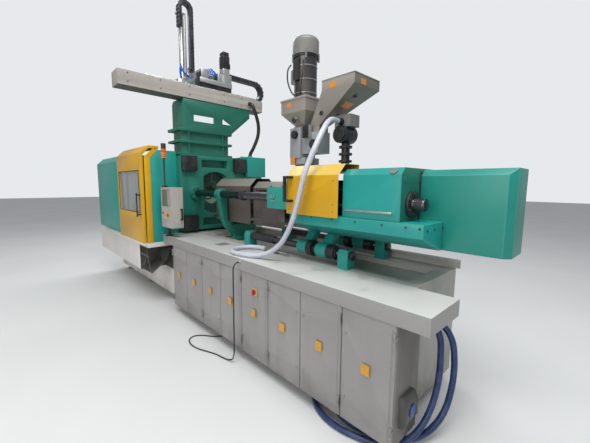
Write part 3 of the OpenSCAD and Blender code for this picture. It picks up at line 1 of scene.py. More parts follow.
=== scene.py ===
"""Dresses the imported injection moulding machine: camera and floor first, then the cords, then each
group of pieces in the order in which the machine is put together, from its beds to its panel."""
import json
import math
import bpy
import bmesh
from mathutils import Matrix, Vector

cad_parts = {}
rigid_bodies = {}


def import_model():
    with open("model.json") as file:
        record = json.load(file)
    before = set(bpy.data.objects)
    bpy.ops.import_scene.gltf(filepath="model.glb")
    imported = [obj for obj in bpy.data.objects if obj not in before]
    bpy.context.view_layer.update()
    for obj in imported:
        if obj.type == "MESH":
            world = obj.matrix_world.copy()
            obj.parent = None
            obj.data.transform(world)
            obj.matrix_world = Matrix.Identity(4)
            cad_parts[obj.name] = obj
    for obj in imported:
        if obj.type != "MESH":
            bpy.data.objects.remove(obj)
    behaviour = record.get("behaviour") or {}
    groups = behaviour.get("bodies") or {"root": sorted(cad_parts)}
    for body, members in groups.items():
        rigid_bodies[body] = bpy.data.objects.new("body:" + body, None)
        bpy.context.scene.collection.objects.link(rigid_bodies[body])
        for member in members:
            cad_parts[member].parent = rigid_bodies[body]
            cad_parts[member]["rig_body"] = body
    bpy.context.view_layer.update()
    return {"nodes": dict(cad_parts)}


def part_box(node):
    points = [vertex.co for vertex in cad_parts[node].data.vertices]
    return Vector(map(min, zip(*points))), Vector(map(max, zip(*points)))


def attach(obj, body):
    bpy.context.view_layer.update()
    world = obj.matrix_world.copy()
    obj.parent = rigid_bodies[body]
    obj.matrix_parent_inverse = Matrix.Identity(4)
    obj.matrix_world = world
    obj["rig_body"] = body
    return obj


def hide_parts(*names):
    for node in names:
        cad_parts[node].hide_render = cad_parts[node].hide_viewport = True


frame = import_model()

# ---- Camera, floor and light
# A hand-held camera stood beyond the injection end, at eye height on the operator's side. The
# machine stands on a pale floor under broad soft light from above, as in a bright hall.
SHIFT = (370.15, 690.416669, 0)
FAR = 1e6
X, Y, Z, FRONT = Vector((1, 0, 0)), Vector((0, 1, 0)), Vector((0, 0, 1)), Vector((0, -1, 0))
EYE, PAN, DIP, ROLL = (4345, -1745, 1866), 46.276, 6.819, 0.45


def spot(x, y, z):
    """A place in the machine's own millimetres, as a point of the part in metres."""
    return Vector(((x - SHIFT[0]) / 1000, (y - SHIFT[1]) / 1000, z / 1000))


def rotation(degrees, axis):
    return Matrix.Rotation(math.radians(degrees), 4, axis)


def add(name, data):
    """A new object in the scene."""
    obj = bpy.data.objects.new(name, data)
    bpy.context.scene.collection.objects.link(obj)
    return obj


camera_data = bpy.data.cameras.new("camera")
camera_data.sensor_width = 36
camera_data.lens = 18.883
camera_data.clip_end = 300
camera = add("camera", camera_data)
camera.matrix_world = (Matrix.Translation(spot(*EYE)) @ rotation(PAN, "Z")
                       @ rotation(90 - DIP, "X") @ rotation(ROLL, "Z"))
bpy.context.scene.camera = camera
bpy.context.scene.view_settings.view_transform = "Standard"


def clear():
    """Object mode, with nothing selected."""
    if bpy.context.object and bpy.context.object.mode != "OBJECT":
        bpy.ops.object.mode_set(mode="OBJECT")
    bpy.ops.object.select_all(action="DESELECT")


def feed(socket, value):
    """Links a socket into this one, or writes a plain value there."""
    if isinstance(value, bpy.types.NodeSocket):
        socket.id_data.links.new(value, socket)
    else:
        socket.default_value = (*value, 1) if socket.type == "RGBA" else value


def add_node(tree, kind, inputs, **settings):
    """A node of the kind, with its settings written and its inputs fed."""
    made = tree.nodes.new("ShaderNode" + kind)
    for key, value in settings.items():
        setattr(made, key, value)
    for key, value in inputs.items():
        feed(made.inputs[key], value)
    return made


def new_finish(name):
    material = bpy.data.materials.new(name)
    material.use_nodes = True
    return material, material.node_tree


def coat(tree, **values):
    """Feeds the inputs of the finish's own shader."""
    for key, value in values.items():
        feed(tree.nodes["Principled BSDF"].inputs[key.replace("_", " ")], value)


def noise(tree, scale, detail=4, stretch=None):
    """Noise over the object's own coordinates, drawn out along an axis where asked."""
    place = add_node(tree, "TexCoord", {}).outputs["Object"]
    if stretch:
        place = add_node(tree, "Mapping", {"Scale": stretch, "Vector": place}).outputs["Vector"]
    field = add_node(tree, "TexNoise", {"Scale": scale, "Detail": detail, "Vector": place})
    return field.outputs["Fac"]


def spread(value, low, high, to_low=0.0, to_high=1.0):
    ends = {"From Min": low, "From Max": high, "To Min": to_low, "To Max": to_high, "Value": value}
    return add_node(value.id_data, "MapRange", ends).outputs["Result"]


def combine(kind, a, b):
    return add_node(a.id_data, "Math", {0: a, 1: b}, operation=kind, use_clamp=True).outputs[0]


def times(a, b):
    return combine("MULTIPLY", a, b)


def tint(amount, a, b):
    """Colour a turning into colour b by an amount."""
    mix = add_node(amount.id_data, "Mix", {"Factor": amount, "A": a, "B": b}, data_type="RGBA")
    return mix.outputs["Result"]


def shade(tone, factor, plus=0.0):
    return tuple(min(1, c * factor + plus) for c in tone)


def height_bump(value, strength, distance):
    """A bump on top of the bumps that the finish has already."""
    tree = value.id_data
    normal = tree.nodes["Principled BSDF"].inputs["Normal"]
    under = {"Normal": normal.links[0].from_socket} if normal.is_linked else {}
    bump = add_node(tree, "Bump", {"Strength": strength, "Distance": distance, "Height": value, **under})
    tree.links.new(bump.outputs["Normal"], normal)


pale_floor, tree = new_finish("pale_floor")
patches = spread(noise(tree, 0.5, 5), 0.3, 0.7)
coat(tree, Base_Color=tint(patches, (0.66, 0.67, 0.67), (0.71, 0.715, 0.71)), Roughness=0.55)
bpy.ops.mesh.primitive_plane_add(size=90)
floor = bpy.context.object
floor.name = "hall_floor"
floor.data.materials.append(pale_floor)

world = bpy.data.worlds.new("soft_hall")
bpy.context.scene.world = world
world.use_nodes = True
sky = world.node_tree
sky.nodes.clear()
seen = add_node(sky, "Background", {"Color": (0.80, 0.82, 0.84)})
glow = add_node(sky, "Background", {"Color": (0.93, 0.96, 1.0), "Strength": 0.42})
ray = add_node(sky, "LightPath", {}).outputs
either = add_node(sky, "Math", {0: ray["Is Camera Ray"], 1: ray["Is Transmission Ray"]}, operation="MAXIMUM")
both = add_node(sky, "MixShader", {0: either.outputs[0], 1: glow.outputs[0], 2: seen.outputs[0]})
add_node(sky, "OutputWorld", {"Surface": both.outputs[0]})

for name, place, aim, size, power, warmth in (
        ("skylight_right", (4.0, -2.5, 8.5), (0.5, 0, 1.2), (7, 3), 620, (1, 1, 1)),
        ("skylight_left", (-5.0, 2.5, 8.0), (-0.5, 0, 1.2), (7, 3), 330, (1, 1, 1)),
        ("aisle_fill", (3.5, -8.0, 3.2), (0.5, 0, 1.3), (6, 3), 190, (1, 0.98, 0.95))):
    data = bpy.data.lights.new(name, "AREA")
    data.shape = "RECTANGLE"
    data.size, data.size_y = size
    data.energy, data.color = power, warmth
    lamp = add(name, data)
    lamp.location = place
    lamp.rotation_euler = (Vector(aim) - Vector(place)).to_track_quat("-Z", "Y").to_euler()

# ---- Cords: suction hose, floor cable, coolant hoses and the robot's conduit
# The clear suction hose has a pressed-in spiral and ends in its steel lance on the worktop. The
# cable and hoses are plain round rubber, pushed into fittings on the beds and the cabinet.
SUCTION = [
    (2400, 690, 2480), (2400, 640, 2480), (2420, 560, 2472), (2455, 460, 2425), (2480, 370, 2340),
    (2488, 285, 2220), (2475, 225, 2100), (2450, 178, 1960), (2410, 172, 1820), (2365, 172, 1680),
    (2305, 175, 1540), (2225, 180, 1410), (2125, 185, 1295), (2005, 170, 1205), (1895, 145, 1155),
    (1800, 108, 1136), (1710, 70, 1134), (1625, 50, 1134), (1540, 46, 1134), (1469, 60, 1134),
    (1409, 100, 1134), (1368, 161, 1134), (1354, 232, 1134), (1368, 303, 1134), (1409, 364, 1134),
    (1469, 404, 1134), (1540, 418, 1134), (1600, 418, 1134)]
CABLE = [
    (1722, -8, 1075), (1722, -30, 1075), (1722, -54.5, 1070), (1722, -75.3, 1056.3), (1722, -89.1, 1035.5),
    (1722, -94, 1011), (1721, -94, 930), (1720, -94, 820), (1720, -94, 690), (1720, -94, 550),
    (1720, -94, 400), (1720, -94, 270), (1720, -95, 170), (1717, -97, 100), (1696, -103, 45),
    (1640, -113, 16), (1560, -128, 7.5), (1460, -146, 7.5), (1380, -170, 7.5), (1295, -203, 7.5),
    (1200, -238, 7.5), (1095, -256, 7.5), (990, -246, 7.5), (915, -205, 7.5), (890, -145, 7.5),
    (915, -85, 7.5), (975, -30, 7.5), (1050, 24, 7.5), (1110.6, 97.1, 7.5), (1129.5, 121.2, 13.6),
    (1145.5, 141.6, 30.9), (1156.2, 155.2, 56.9), (1160, 160, 87.5), (1160, 160, 119.7)]
BLUE_1 = [
    (3356.3, 480, 880), (3430, 480, 880), (3508, 478, 848), (3550, 470, 765), (3562, 460, 650),
    (3565, 448, 520), (3560, 420, 390), (3545, 370, 265), (3515, 300, 155), (3465, 225, 75),
    (3390, 150, 32), (3290, 80, 23.5), (3170, 30, 23.5), (3040, 0, 23.5), (2910, 0, 23.5), (2790, 30, 23.5),
    (2695, 85, 23.5), (2625, 138, 42), (2600, 160, 88), (2600, 160, 119.7)]
BLUE_2 = [
    (3356.3, 580, 850), (3440, 580, 850), (3538, 580, 817), (3595, 580, 730), (3615, 580, 610),
    (3620, 575, 480), (3615, 550, 350), (3600, 505, 230), (3565, 435, 130), (3510, 355, 62),
    (3435, 275, 28), (3340, 200, 23.5), (3225, 140, 23.5), (3100, 105, 23.5), (2980, 105, 23.5),
    (2890, 140, 23.5), (2825, 204, 42), (2800, 230, 88), (2800, 230, 119.7)]
CONDUIT = [
    (-199.7, 1480, 3225), (-160, 1480, 3225), (-112, 1492, 3192), (-95, 1525, 3110), (-92, 1565, 3010),
    (-95, 1600, 2900), (-105, 1615, 2790), (-120, 1605, 2680), (-145, 1575, 2570), (-175, 1540, 2470),
    (-205, 1515, 2400), (-220, 1510, 2350), (-220, 1510, 2330)]


def smooth_line(route, step):
    """The route's points in metres, joined by one smooth curve and set out at even steps."""
    knots = [spot(*p) for p in route]
    line = []
    for i in range(len(knots) - 1):
        a, b = knots[max(i - 1, 0)], knots[i]
        c, d = knots[i + 1], knots[min(i + 2, len(knots) - 1)]
        count = max(2, round((c - b).length / step))
        for k in range(count):
            t = k / count
            line.append(0.5 * (2 * b + (c - a) * t + (2 * a - 5 * b + 4 * c - d) * t * t
                               + (3 * b - a - 3 * c + d) * t ** 3))
    return line + [knots[-1]]


def object_of(mesh, name):
    """The built mesh as an object in the scene."""
    data = bpy.data.meshes.new(name)
    mesh.to_mesh(data)
    mesh.free()
    return add(name, data)


def tube(name, line, radius, sides, spiral=None):
    """A closed round skin along a line, mapped by its length and girth in metres."""
    mesh = bmesh.new()
    wrap = mesh.loops.layers.uv.new("length_and_girth")
    rings, far, across, run = [], [], None, 0.0
    for i, point in enumerate(line):
        ahead = (line[min(i + 1, len(line) - 1)] - line[max(i - 1, 0)]).normalized()
        if across is None:
            across = ahead.orthogonal().normalized()
        across = (across - ahead * across.dot(ahead)).normalized()
        up = ahead.cross(across)
        run += (point - line[i - 1]).length if i else 0
        ring = []
        for k in range(sides):
            turn = 2 * math.pi * k / sides
            reach = radius
            if spiral:
                reach -= spiral[1] * max(0.0, math.sin(2 * math.pi * run / spiral[0] + turn))
            ring.append(mesh.verts.new(point + reach * (math.cos(turn) * across + math.sin(turn) * up)))
        rings.append(ring)
        far.append(run)
    for i in range(len(rings) - 1):
        for k in range(sides):
            n = (k + 1) % sides
            face = mesh.faces.new((rings[i][k], rings[i][n], rings[i + 1][n], rings[i + 1][k]))
            corners = ((far[i], k), (far[i], k + 1), (far[i + 1], k + 1), (far[i + 1], k))
            for loop, (length, part) in zip(face.loops, corners):
                loop[wrap].uv = (length, part / sides * 2 * math.pi * radius)
    mesh.faces.new(rings[0])
    mesh.faces.new(rings[-1])
    bmesh.ops.recalc_face_normals(mesh, faces=mesh.faces)
    for face in mesh.faces:
        face.smooth = len(face.verts) == 4
    return object_of(mesh, name)


def rubber(name, colour, worn, rough=0.55):
    material, tree = new_finish(name)
    scuffs = spread(noise(tree, 14, 7), 0.45, 0.8)
    coat(tree, Base_Color=tint(scuffs, colour, worn),
         Roughness=spread(scuffs, 0, 1, rough - 0.1, rough + 0.2))
    height_bump(noise(tree, 420, 2), 0.25, 0.0005)
    return material


def lay_cord(node, route, radius, finish, sides, step, spiral, **facts):
    obj = tube(node + "_skin", smooth_line(route, step), radius, sides, spiral)
    obj.data.materials.append(finish)
    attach(obj, frame["nodes"][node]["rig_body"])
    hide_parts(node)


black_rubber = rubber("black_rubber", (0.012, 0.012, 0.013), (0.05, 0.05, 0.05))
blue_rubber = rubber("blue_rubber", (0.012, 0.03, 0.11), (0.05, 0.08, 0.17), 0.38)
RUBBER = (black_rubber, "black_rubber")
conduit_black = rubber("conduit_black", (0.008, 0.008, 0.009), (0.022, 0.022, 0.022), 0.26)
clear_hose, tree = new_finish("clear_hose")
place = add_node(tree, "UVMap", {}, uv_map="length_and_girth").outputs["UV"]
# The wave bands paint lighter rings along the spiral: a painted highlight on its ridges.
rings = add_node(tree, "TexWave", {"Scale": 28, "Distortion": 0.3, "Vector": place})
dust = spread(noise(tree, 9, 6), 0.35, 0.75)
tone = tint(dust, (0.47, 0.50, 0.60), (0.36, 0.38, 0.43))
coat(tree, Base_Color=tint(rings.outputs["Fac"], tone, (0.58, 0.60, 0.68)), Roughness=0.28,
     Subsurface_Weight=0.15, Subsurface_Radius=(0.01, 0.01, 0.012))
lay_cord("floor_cable", CABLE, 0.0069, black_rubber, 10, 0.02, None, stiffness="medium", lay="loose")
lay_cord("blue_hose_1", BLUE_1, 0.0229, blue_rubber, 18, 0.02, None, stiffness="stiff", lay="loose")
lay_cord("blue_hose_2", BLUE_2, 0.0229, blue_rubber, 18, 0.02, None, stiffness="stiff", lay="loose")
lay_cord("robot_conduit", CONDUIT, 0.0298, conduit_black, 20, 0.0035, (0.014, 0.0022),
         stiffness="stiff", lay="hanging")
lay_cord("suction_hose", SUCTION, 0.0248, clear_hose, 18, 0.0035, (0.014, 0.0012),
         stiffness="medium", lay="loose")


# ---- Machine beds
# Two welded plate boxes, one under the clamp and one under the injection unit, painted cream
# outside. They stand on steel levelling feet; their foot edges are dirty and their paint is chipped.
def paint(name, tone, rough=0.42, soil=0.4, chips=0.0, orange_peel=0.5, low_soil=0.5, fade=0.2):
    """Factory paint: clouded tone, dust where it faces up, runs and grime, chips to grey primer."""
    material, tree = new_finish(name)
    cloud = spread(noise(tree, 1.4, 6), 0.3, 0.7)
    colour = tint(cloud, shade(tone, 0.88), shade(tone, 1.06))
    faded = times(spread(noise(tree, 3.1, 3), 0.45, 0.8), fade)
    colour = tint(faded, colour, shade(tone, 0.6, 0.4 * sum(tone) / 3 + 0.03))
    normal = add_node(tree, "NewGeometry", {}).outputs["Normal"]
    facing_up = add_node(tree, "SeparateXYZ", {0: normal}).outputs["Z"]
    dust = times(spread(facing_up, 0.3, 1, 0, 0.4 * soil), spread(noise(tree, 6, 7), 0.3, 0.7, 0.25, 1))
    colour = tint(dust, colour, shade(tone, 0.5, 0.10))
    streaks = spread(noise(tree, 9, 5, (1, 1, 0.07)), 0.52, 0.78, 0, 0.45 * soil)
    runs = times(streaks, spread(facing_up, 0.3, 0.7, 1, 0))
    colour = tint(runs, colour, shade(tone, 0.45, 0.02))
    place = add_node(tree, "TexCoord", {}).outputs["Object"]
    height = add_node(tree, "SeparateXYZ", {0: place}).outputs["Z"]
    low = times(spread(height, 0.42, 0.05, 0, low_soil), spread(noise(tree, 4, 8), 0.38, 0.7, 0.1, 1))
    colour = tint(low, colour, (0.075, 0.062, 0.048))
    chipped = spread(noise(tree, 55, 9), 0.74 - 0.28 * chips, 0.77 - 0.28 * chips)
    worn = combine("MAXIMUM", combine("ADD", runs, low), chipped)
    dull = combine("ADD", times(cloud, 0.25), worn)
    coat(tree, Base_Color=tint(chipped, colour, (0.10, 0.095, 0.09)),
         Roughness=spread(dull, 0, 1, rough - 0.06, min(0.95, rough + 0.3)))
    height_bump(noise(tree, 260, 2), 0.12 * orange_peel, 0.0006)
    height_bump(chipped, 0.5, -0.0004)
    return material


def steel(name, tone=(0.56, 0.56, 0.55), rough=0.32, stretch=(1, 60, 60), stain=0.3):
    """Bare ground metal: fine marks along the tool's path, with thin stains."""
    material, tree = new_finish(name)
    marks = noise(tree, 22, 4, stretch)
    blots = spread(noise(tree, 7, 7), 0.5, 0.78, 0, stain)
    colour = tint(marks, shade(tone, 0.82), tone)
    dull = combine("ADD", times(marks, 0.4), blots)
    coat(tree, Base_Color=tint(blots, colour, (0.13, 0.10, 0.075)), Metallic=1,
         Roughness=spread(dull, 0, 1, rough - 0.08, rough + 0.3))
    height_bump(marks, 0.08, 0.0003)
    return material


def moulded(name, tone, rough=0.5, grain=0.3):
    """Moulded plastic or enamelled sheet: fine grain, rubbed patches and dust."""
    material, tree = new_finish(name)
    rubbed = spread(noise(tree, 8, 6), 0.4, 0.75)
    coat(tree, Base_Color=tint(rubbed, tone, shade(tone, 0.8, 0.025)),
         Roughness=spread(rubbed, 0, 1, rough - 0.07, rough + 0.16))
    height_bump(noise(tree, 500, 2), grain, 0.0004)
    return material


def choose(*pieces):
    """Object mode, with only these pieces selected and the first one active."""
    clear()
    for piece in pieces:
        piece.select_set(True)
    bpy.context.view_layer.objects.active = pieces[0]


def edit():
    """Edit mode on the active piece, with all of it selected."""
    bpy.ops.object.mode_set(mode="EDIT")
    bpy.ops.mesh.select_all(action="SELECT")


def round_edges(piece, width, steps=2, angle=32, worn=-1):
    """Rounds every edge sharper than the angle; the rounds can take a finish of their own."""
    choose(piece)
    if width:
        bevel = piece.modifiers.new("rounds", "BEVEL")
        bevel.width, bevel.segments = width / 1000, steps
        bevel.angle_limit = math.radians(angle)
        bevel.material = worn
        bevel.miter_outer = "MITER_ARC"
        bpy.ops.object.modifier_apply(modifier=bevel.name)
    bpy.ops.object.shade_smooth_by_angle(angle=math.radians(38))
    return piece


def skin_area(mesh):
    """The area of the mesh's triangles."""
    mesh.calc_loop_triangles()
    return sum(one.area for one in mesh.loop_triangles)


MERGE_M, FLAT, AREA_RATIO = 0.00002, math.radians(0.6), 1.0015


def dress(node, finish, slot, width=4, steps=2, angle=32, worn=None, cuts=()):
    """The node's shape as one closed skin, less the cuts, with rounded corners and its finish.
    Where merging the flat faces would close a hole with a membrane, they are only paired."""
    source = frame["nodes"][node]
    for whole in (True, False):
        piece = add(node + "_skin", source.data.copy())
        choose(piece)
        piece.data.materials.clear()
        for one in (finish, worn) if worn else (finish,):
            piece.data.materials.append(one)
        edit()
        bpy.ops.mesh.remove_doubles(threshold=MERGE_M)
        bpy.ops.object.mode_set(mode="OBJECT")
        for cut in cuts:
            hole = piece.modifiers.new("cut", "BOOLEAN")
            hole.operation, hole.solver, hole.object = "DIFFERENCE", "EXACT", cut
            bpy.ops.object.modifier_apply(modifier=hole.name)
        area = skin_area(piece.data)
        edit()
        if whole:
            bpy.ops.mesh.dissolve_limited(angle_limit=FLAT)
        else:
            bpy.ops.mesh.tris_convert_to_quads(face_threshold=FLAT, shape_threshold=math.pi)
        bpy.ops.object.mode_set(mode="OBJECT")
        piece.data.polygons.foreach_set("material_index", [0] * len(piece.data.polygons))
        round_edges(piece, width, steps, angle, 1 if worn else -1)
        if not whole or skin_area(piece.data) < AREA_RATIO * area:
            break
        bpy.data.objects.remove(piece)
    for cut in cuts:
        bpy.data.objects.remove(cut)
    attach(piece, source["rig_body"])
    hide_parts(node)
    return piece


def give(piece, finish, **ranges):
    """Another finish for the faces whose middle (x, y, z and distance r from the screw's axis, in
    the machine's millimetres) and normal (nx, ny, nz) lie in all the ranges."""
    kinds = piece.data.materials
    if finish.name not in kinds:
        kinds.append(finish)
    index = kinds.find(finish.name)
    for face in piece.data.polygons:
        c, (nx, ny, nz) = face.center, face.normal
        x, y, z = c.x * 1000 + SHIFT[0], c.y * 1000 + SHIFT[1], c.z * 1000
        found = {"x": x, "y": y, "z": z, "nx": nx, "ny": ny, "nz": nz,
                 "r": math.hypot(y - SCREW_Y, z - SCREW_Z)}
        if all(low < found[key] < high for key, (low, high) in ranges.items()):
            face.material_index = index


def mount(pieces, node, finish, slot, name):
    """One or more new pieces as one, in its finish, riding with the node's body."""
    pieces = pieces if isinstance(pieces, list) else [pieces]
    choose(*pieces)
    if len(pieces) > 1:
        bpy.ops.object.join()
    piece = pieces[0]
    piece.name = name
    piece.data.materials.clear()
    piece.data.materials.append(finish)
    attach(piece, frame["nodes"][node]["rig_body"])


def block(low, high, width=2, steps=2):
    """A rounded plate or box between two corners."""
    a, b = spot(*low), spot(*high)
    bpy.ops.mesh.primitive_cube_add(size=1, location=(a + b) / 2, scale=b - a)
    bpy.ops.object.transform_apply()
    return round_edges(bpy.context.object, width, steps)


def turned(start, way, profile, sides=32, width=0):
    """A turned piece: a disc at the start, drawn out along the way through (distance, radius) steps."""
    ahead = Vector(way).normalized()
    here = spot(*start)
    bpy.ops.mesh.primitive_circle_add(vertices=sides, radius=profile[0][1] / 1000, fill_type="NGON",
                                      location=here + ahead * profile[0][0] / 1000,
                                      rotation=ahead.to_track_quat("Z", "Y").to_euler())
    piece = bpy.context.object
    bpy.ops.object.transform_apply()
    edit()
    for (far, radius), (last, before) in zip(profile[1:], profile):
        bpy.ops.mesh.extrude_region_move(TRANSFORM_OT_translate={"value": ahead * (far - last) / 1000})
        bpy.ops.transform.resize(value=[radius / before] * 3, center_override=here + ahead * far / 1000)
    bpy.ops.mesh.select_all(action="SELECT")
    bpy.ops.mesh.normals_make_consistent(inside=False)
    bpy.ops.object.mode_set(mode="OBJECT")
    return round_edges(piece, width)


def copies(piece, moves):
    """Like pieces as one mesh: copied to each move in millimetres, and turned where a turn follows."""
    mesh, home = bmesh.new(), Matrix.Translation(spot(0, 0, 0))
    for move in moves:
        start = len(mesh.verts)
        mesh.from_mesh(piece.data)
        mesh.verts.ensure_lookup_table()
        turn = move[3] if len(move) > 3 else Matrix.Identity(4)
        place = Matrix.Translation(Vector(move[:3]) / 1000) @ home @ turn @ home.inverted()
        bmesh.ops.transform(mesh, verts=mesh.verts[start:], matrix=place)
    mesh.to_mesh(piece.data)
    mesh.free()
    return piece


def rod(points, radius, sides=8):
    """A bent bar or small hose through the points."""
    return tube("rod", smooth_line(points, 0.01), radius / 1000, sides)


def on_face(centre, facing, along, size, thick=1.2):
    """A thin rounded plate lying on a sloped sheet, turned to its face."""
    n, u = Vector(facing).normalized(), Vector(along).normalized()
    bpy.ops.mesh.primitive_cube_add(size=1)
    plate = bpy.context.object
    turn = Matrix((u, n.cross(u), n)).transposed().to_4x4()
    plate.matrix_world = (Matrix.Translation(spot(*centre)) @ turn
                          @ Matrix.Diagonal((size[0] / 1000, size[1] / 1000, thick / 1000, 1)))
    bpy.ops.object.transform_apply()
    return round_edges(plate, 0.5, 1)


SCREW_Y, SCREW_Z = 810, 1725
cream = paint("cream_paint", (0.68, 0.655, 0.62), 0.5, 0.3, 0.02, low_soil=0.6)
cream_worn = paint("cream_worn_edges", (0.58, 0.56, 0.52), 0.55, 0.5, 0.5, low_soil=0.7)
# Near-black paint: painted shade on the walls inside the discharge notch, and the dark steel of the irons in
# it.
chute_shade_and_iron_dark = paint("chute_shade_and_irons", (0.06, 0.058, 0.052), 0.55, 0.8, 0.1)
bed = dress("clamp_bed", cream, "cream_paint", 6, worn=cream_worn,
            cuts=[block((-700, -260, 539), (-329, 150, 930), 0)])
# The walls inside the notch are painted near-black as shade.
give(bed, chute_shade_and_iron_dark, x=(-702, -327), y=(-229, 152), z=(537, 932))
mount([on_face((-514, -60, 640), (0, -0.62, 0.78), X, (366, 330), 3),
       on_face((-514, 60, 800), (0, -0.92, 0.39), X, (366, 210), 3)], "clamp_bed",
      steel("chute_steel", (0.34, 0.335, 0.32), 0.42, (1, 30, 30), 0.6), "bright_steel", "discharge_plates")
mount([on_face((-514, -222, 800), FRONT, X, (366, 34), 5),
       on_face((-500, -214, 735), FRONT, (0.62, 0, 0.78), (330, 26), 5),
       on_face((-420, -206, 735), FRONT, (-0.5, 0, 0.87), (330, 26), 5)], "clamp_bed", chute_shade_and_iron_dark,
      "black_steel", "discharge_irons")
# The injection bed's cream is darkened to grey here as painted shade.
dress("injection_bed", paint("bed_cream_in_painted_shade", (0.40, 0.39, 0.36), 0.5, 0.5, 0.05, low_soil=0.7),
      "cream_paint", 6, worn=cream_worn)
dress("levelling_feet", steel("foot_steel", (0.30, 0.29, 0.28), 0.5, (40, 40, 1), 0.7), "black_steel", 2)

# ---- Switch cabinet, worktop and doors
# One long folded-steel cabinet in light grey with eight doors, under a rounded sheet worktop that
# is scuffed and stained by oil. Each door has two black quarter-turn locks and a plain amber field.
LOCK_LEVELS, LOCK_INSET, BEAD_INSET = (310, 800), 32, 24
HINGE_SIDE = (-1, 1, -1, 1, 1, -1, 1, 1)
cabinet_worn = paint("cabinet_worn_edges", (0.24, 0.23, 0.215), 0.5, 0.5, 0.45)
cabinet = dress("switch_cabinet", paint("cabinet_grey_paint", (0.275, 0.265, 0.255), 0.46, 0.35, 0.02),
                "grey_paint", 2.5, worn=cabinet_worn)
# The cabinet's end face, facing +x, is painted a darker grey as shade.
give(cabinet, paint("cabinet_side_painted_shade", (0.17, 0.16, 0.145), 0.5, 0.6, 0.1, low_soil=0.8),
     nx=(0.7, FAR), x=(3400, FAR))
give(cabinet, moulded("socket_plastic", (0.055, 0.057, 0.05), 0.45), x=(3457, FAR))

# Oil blots and long thin scratches on the enamel.
enamel = paint("worktop_enamel", (0.60, 0.595, 0.575), 0.38, 0.25, 0.0, 0.4)
tree = enamel.node_tree
clean = tree.nodes["Principled BSDF"].inputs["Base Color"].links[0].from_socket
blots = times(spread(noise(tree, 3.2, 8), 0.56, 0.68), 0.35)
scratches = times(spread(noise(tree, 30, 3, (0.05, 1, 1)), 0.66, 0.7), 0.2)
coat(tree, Base_Color=tint(scratches, tint(blots, clean, (0.20, 0.185, 0.15)), (0.22, 0.22, 0.21)))
# The worktop's sides are painted darker than its enamel top, as shade.
worktop_side_shade_grey = paint("worktop_side_painted_shade", (0.30, 0.293, 0.288), 0.42, 0.3, 0.02)
worktop = dress("worktop", worktop_side_shade_grey, "cream_paint", 16, 5, 60)
give(worktop, enamel, nz=(0.6, FAR))
mount(block((842, 185, 1107), (1000, 340, 1109), 0.6, 1), "worktop",
      moulded("grey_mat", (0.20, 0.20, 0.195), 0.55), "grey_paint", "worktop_plate")

door_paint = paint("door_paint", (0.285, 0.275, 0.272), 0.45, 0.35, 0.015)
lock_black = moulded("lock_plastic", (0.012, 0.012, 0.013), 0.4)
amber = moulded("amber_film", (0.62, 0.30, 0.02), 0.42, 0.1)
hinge_steel = steel("hinge_steel", (0.34, 0.33, 0.32), 0.4, (50, 50, 1), 0.4)
for number, side in enumerate(HINGE_SIDE, 1):
    node = f"door_{number}"
    left, right = (corner[0] * 1000 + SHIFT[0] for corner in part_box(node))
    hinged, free = (left, right) if side < 0 else (right, left)
    lock, bead, mid = free + LOCK_INSET * side, hinged - side * BEAD_INSET, (left + right) / 2
    door = dress(node, door_paint, "grey_paint", 3, 3, worn=cabinet_worn)
    for level in LOCK_LEVELS:
        give(door, lock_black, x=(lock - 15, lock + 15), y=(-FAR, -12.6), z=(level - 15, level + 15))
    mount(block((mid - 34, -13.2, 560), (mid + 34, -11.6, 640), 0.5, 1), node, amber, "yellow_paint",
          f"{node}_amber_field")
    # The pressed bead is real relief; its darker edge paint adds a painted line of shade along it.
    mount(block((bead - 1.5, -13.1, 150), (bead + 1.5, -11.6, 960), 0.7, 1), node, cabinet_worn,
          "grey_paint", f"{node}_pressed_bead")
    mount([block((lock - 1.4, -18.7, level - 7), (lock + 1.4, -17.6, level + 7), 0.2, 1)
           for level in LOCK_LEVELS], node, hinge_steel, "bright_steel", f"{node}_lock_slots")
dress("door_hinges", hinge_steel, "grey_paint", 0.8)

# ---- Main switch and socket flap
# A red rotary isolator on a yellow plate on the fifth door, and a hinged blue lid over the mains
# socket at the cabinet's end.
red_knob = moulded("red_plastic", (0.42, 0.016, 0.014), 0.35)
dress("main_switch", red_knob, "red_plastic", 1.5, 3)
mount(block((1931, -13.6, 785), (2000, -11.4, 855), 1.5), "door_5",
      moulded("switch_plate_yellow", (0.62, 0.36, 0.02), 0.4), "yellow_paint", "switch_plate")
dress("socket_flap", moulded("blue_plastic", (0.02, 0.06, 0.28), 0.35), "blue_plastic", 2, 3)

# ---- Clamp: platens, tie bars, ejector
# Heavy green castings on four bright tie bars. The fixed platen carries the cast funnel for the
# nozzle, black square caps over the bar nuts and the socket screws that hold them.
green = paint("green_paint", (0.014, 0.28, 0.235), 0.36, 0.2, 0.01, fade=0.05)
green_worn = paint("green_worn_edges", (0.03, 0.28, 0.235), 0.42, 0.25, 0.25, fade=0.08)
# The castings take the guard green darkened as painted shade, on a rougher cast skin.
shaded_casting_green = paint("casting_green_paint", (0.012, 0.165, 0.118), 0.42, 0.35, 0.03, 1.6, fade=0.08)
bright = steel("ground_steel")
dark_bar = steel("column_steel", (0.12, 0.12, 0.14), 0.28, (1, 40, 40), 0.35)
cap_black = moulded("cap_plastic", (0.010, 0.010, 0.012), 0.42)
bolt_black = steel("black_screws", (0.10, 0.10, 0.10), 0.4, (20, 20, 20), 0.5)
BRIGHT, CAPS = (bright, "bright_steel"), (cap_black, "black_plastic")


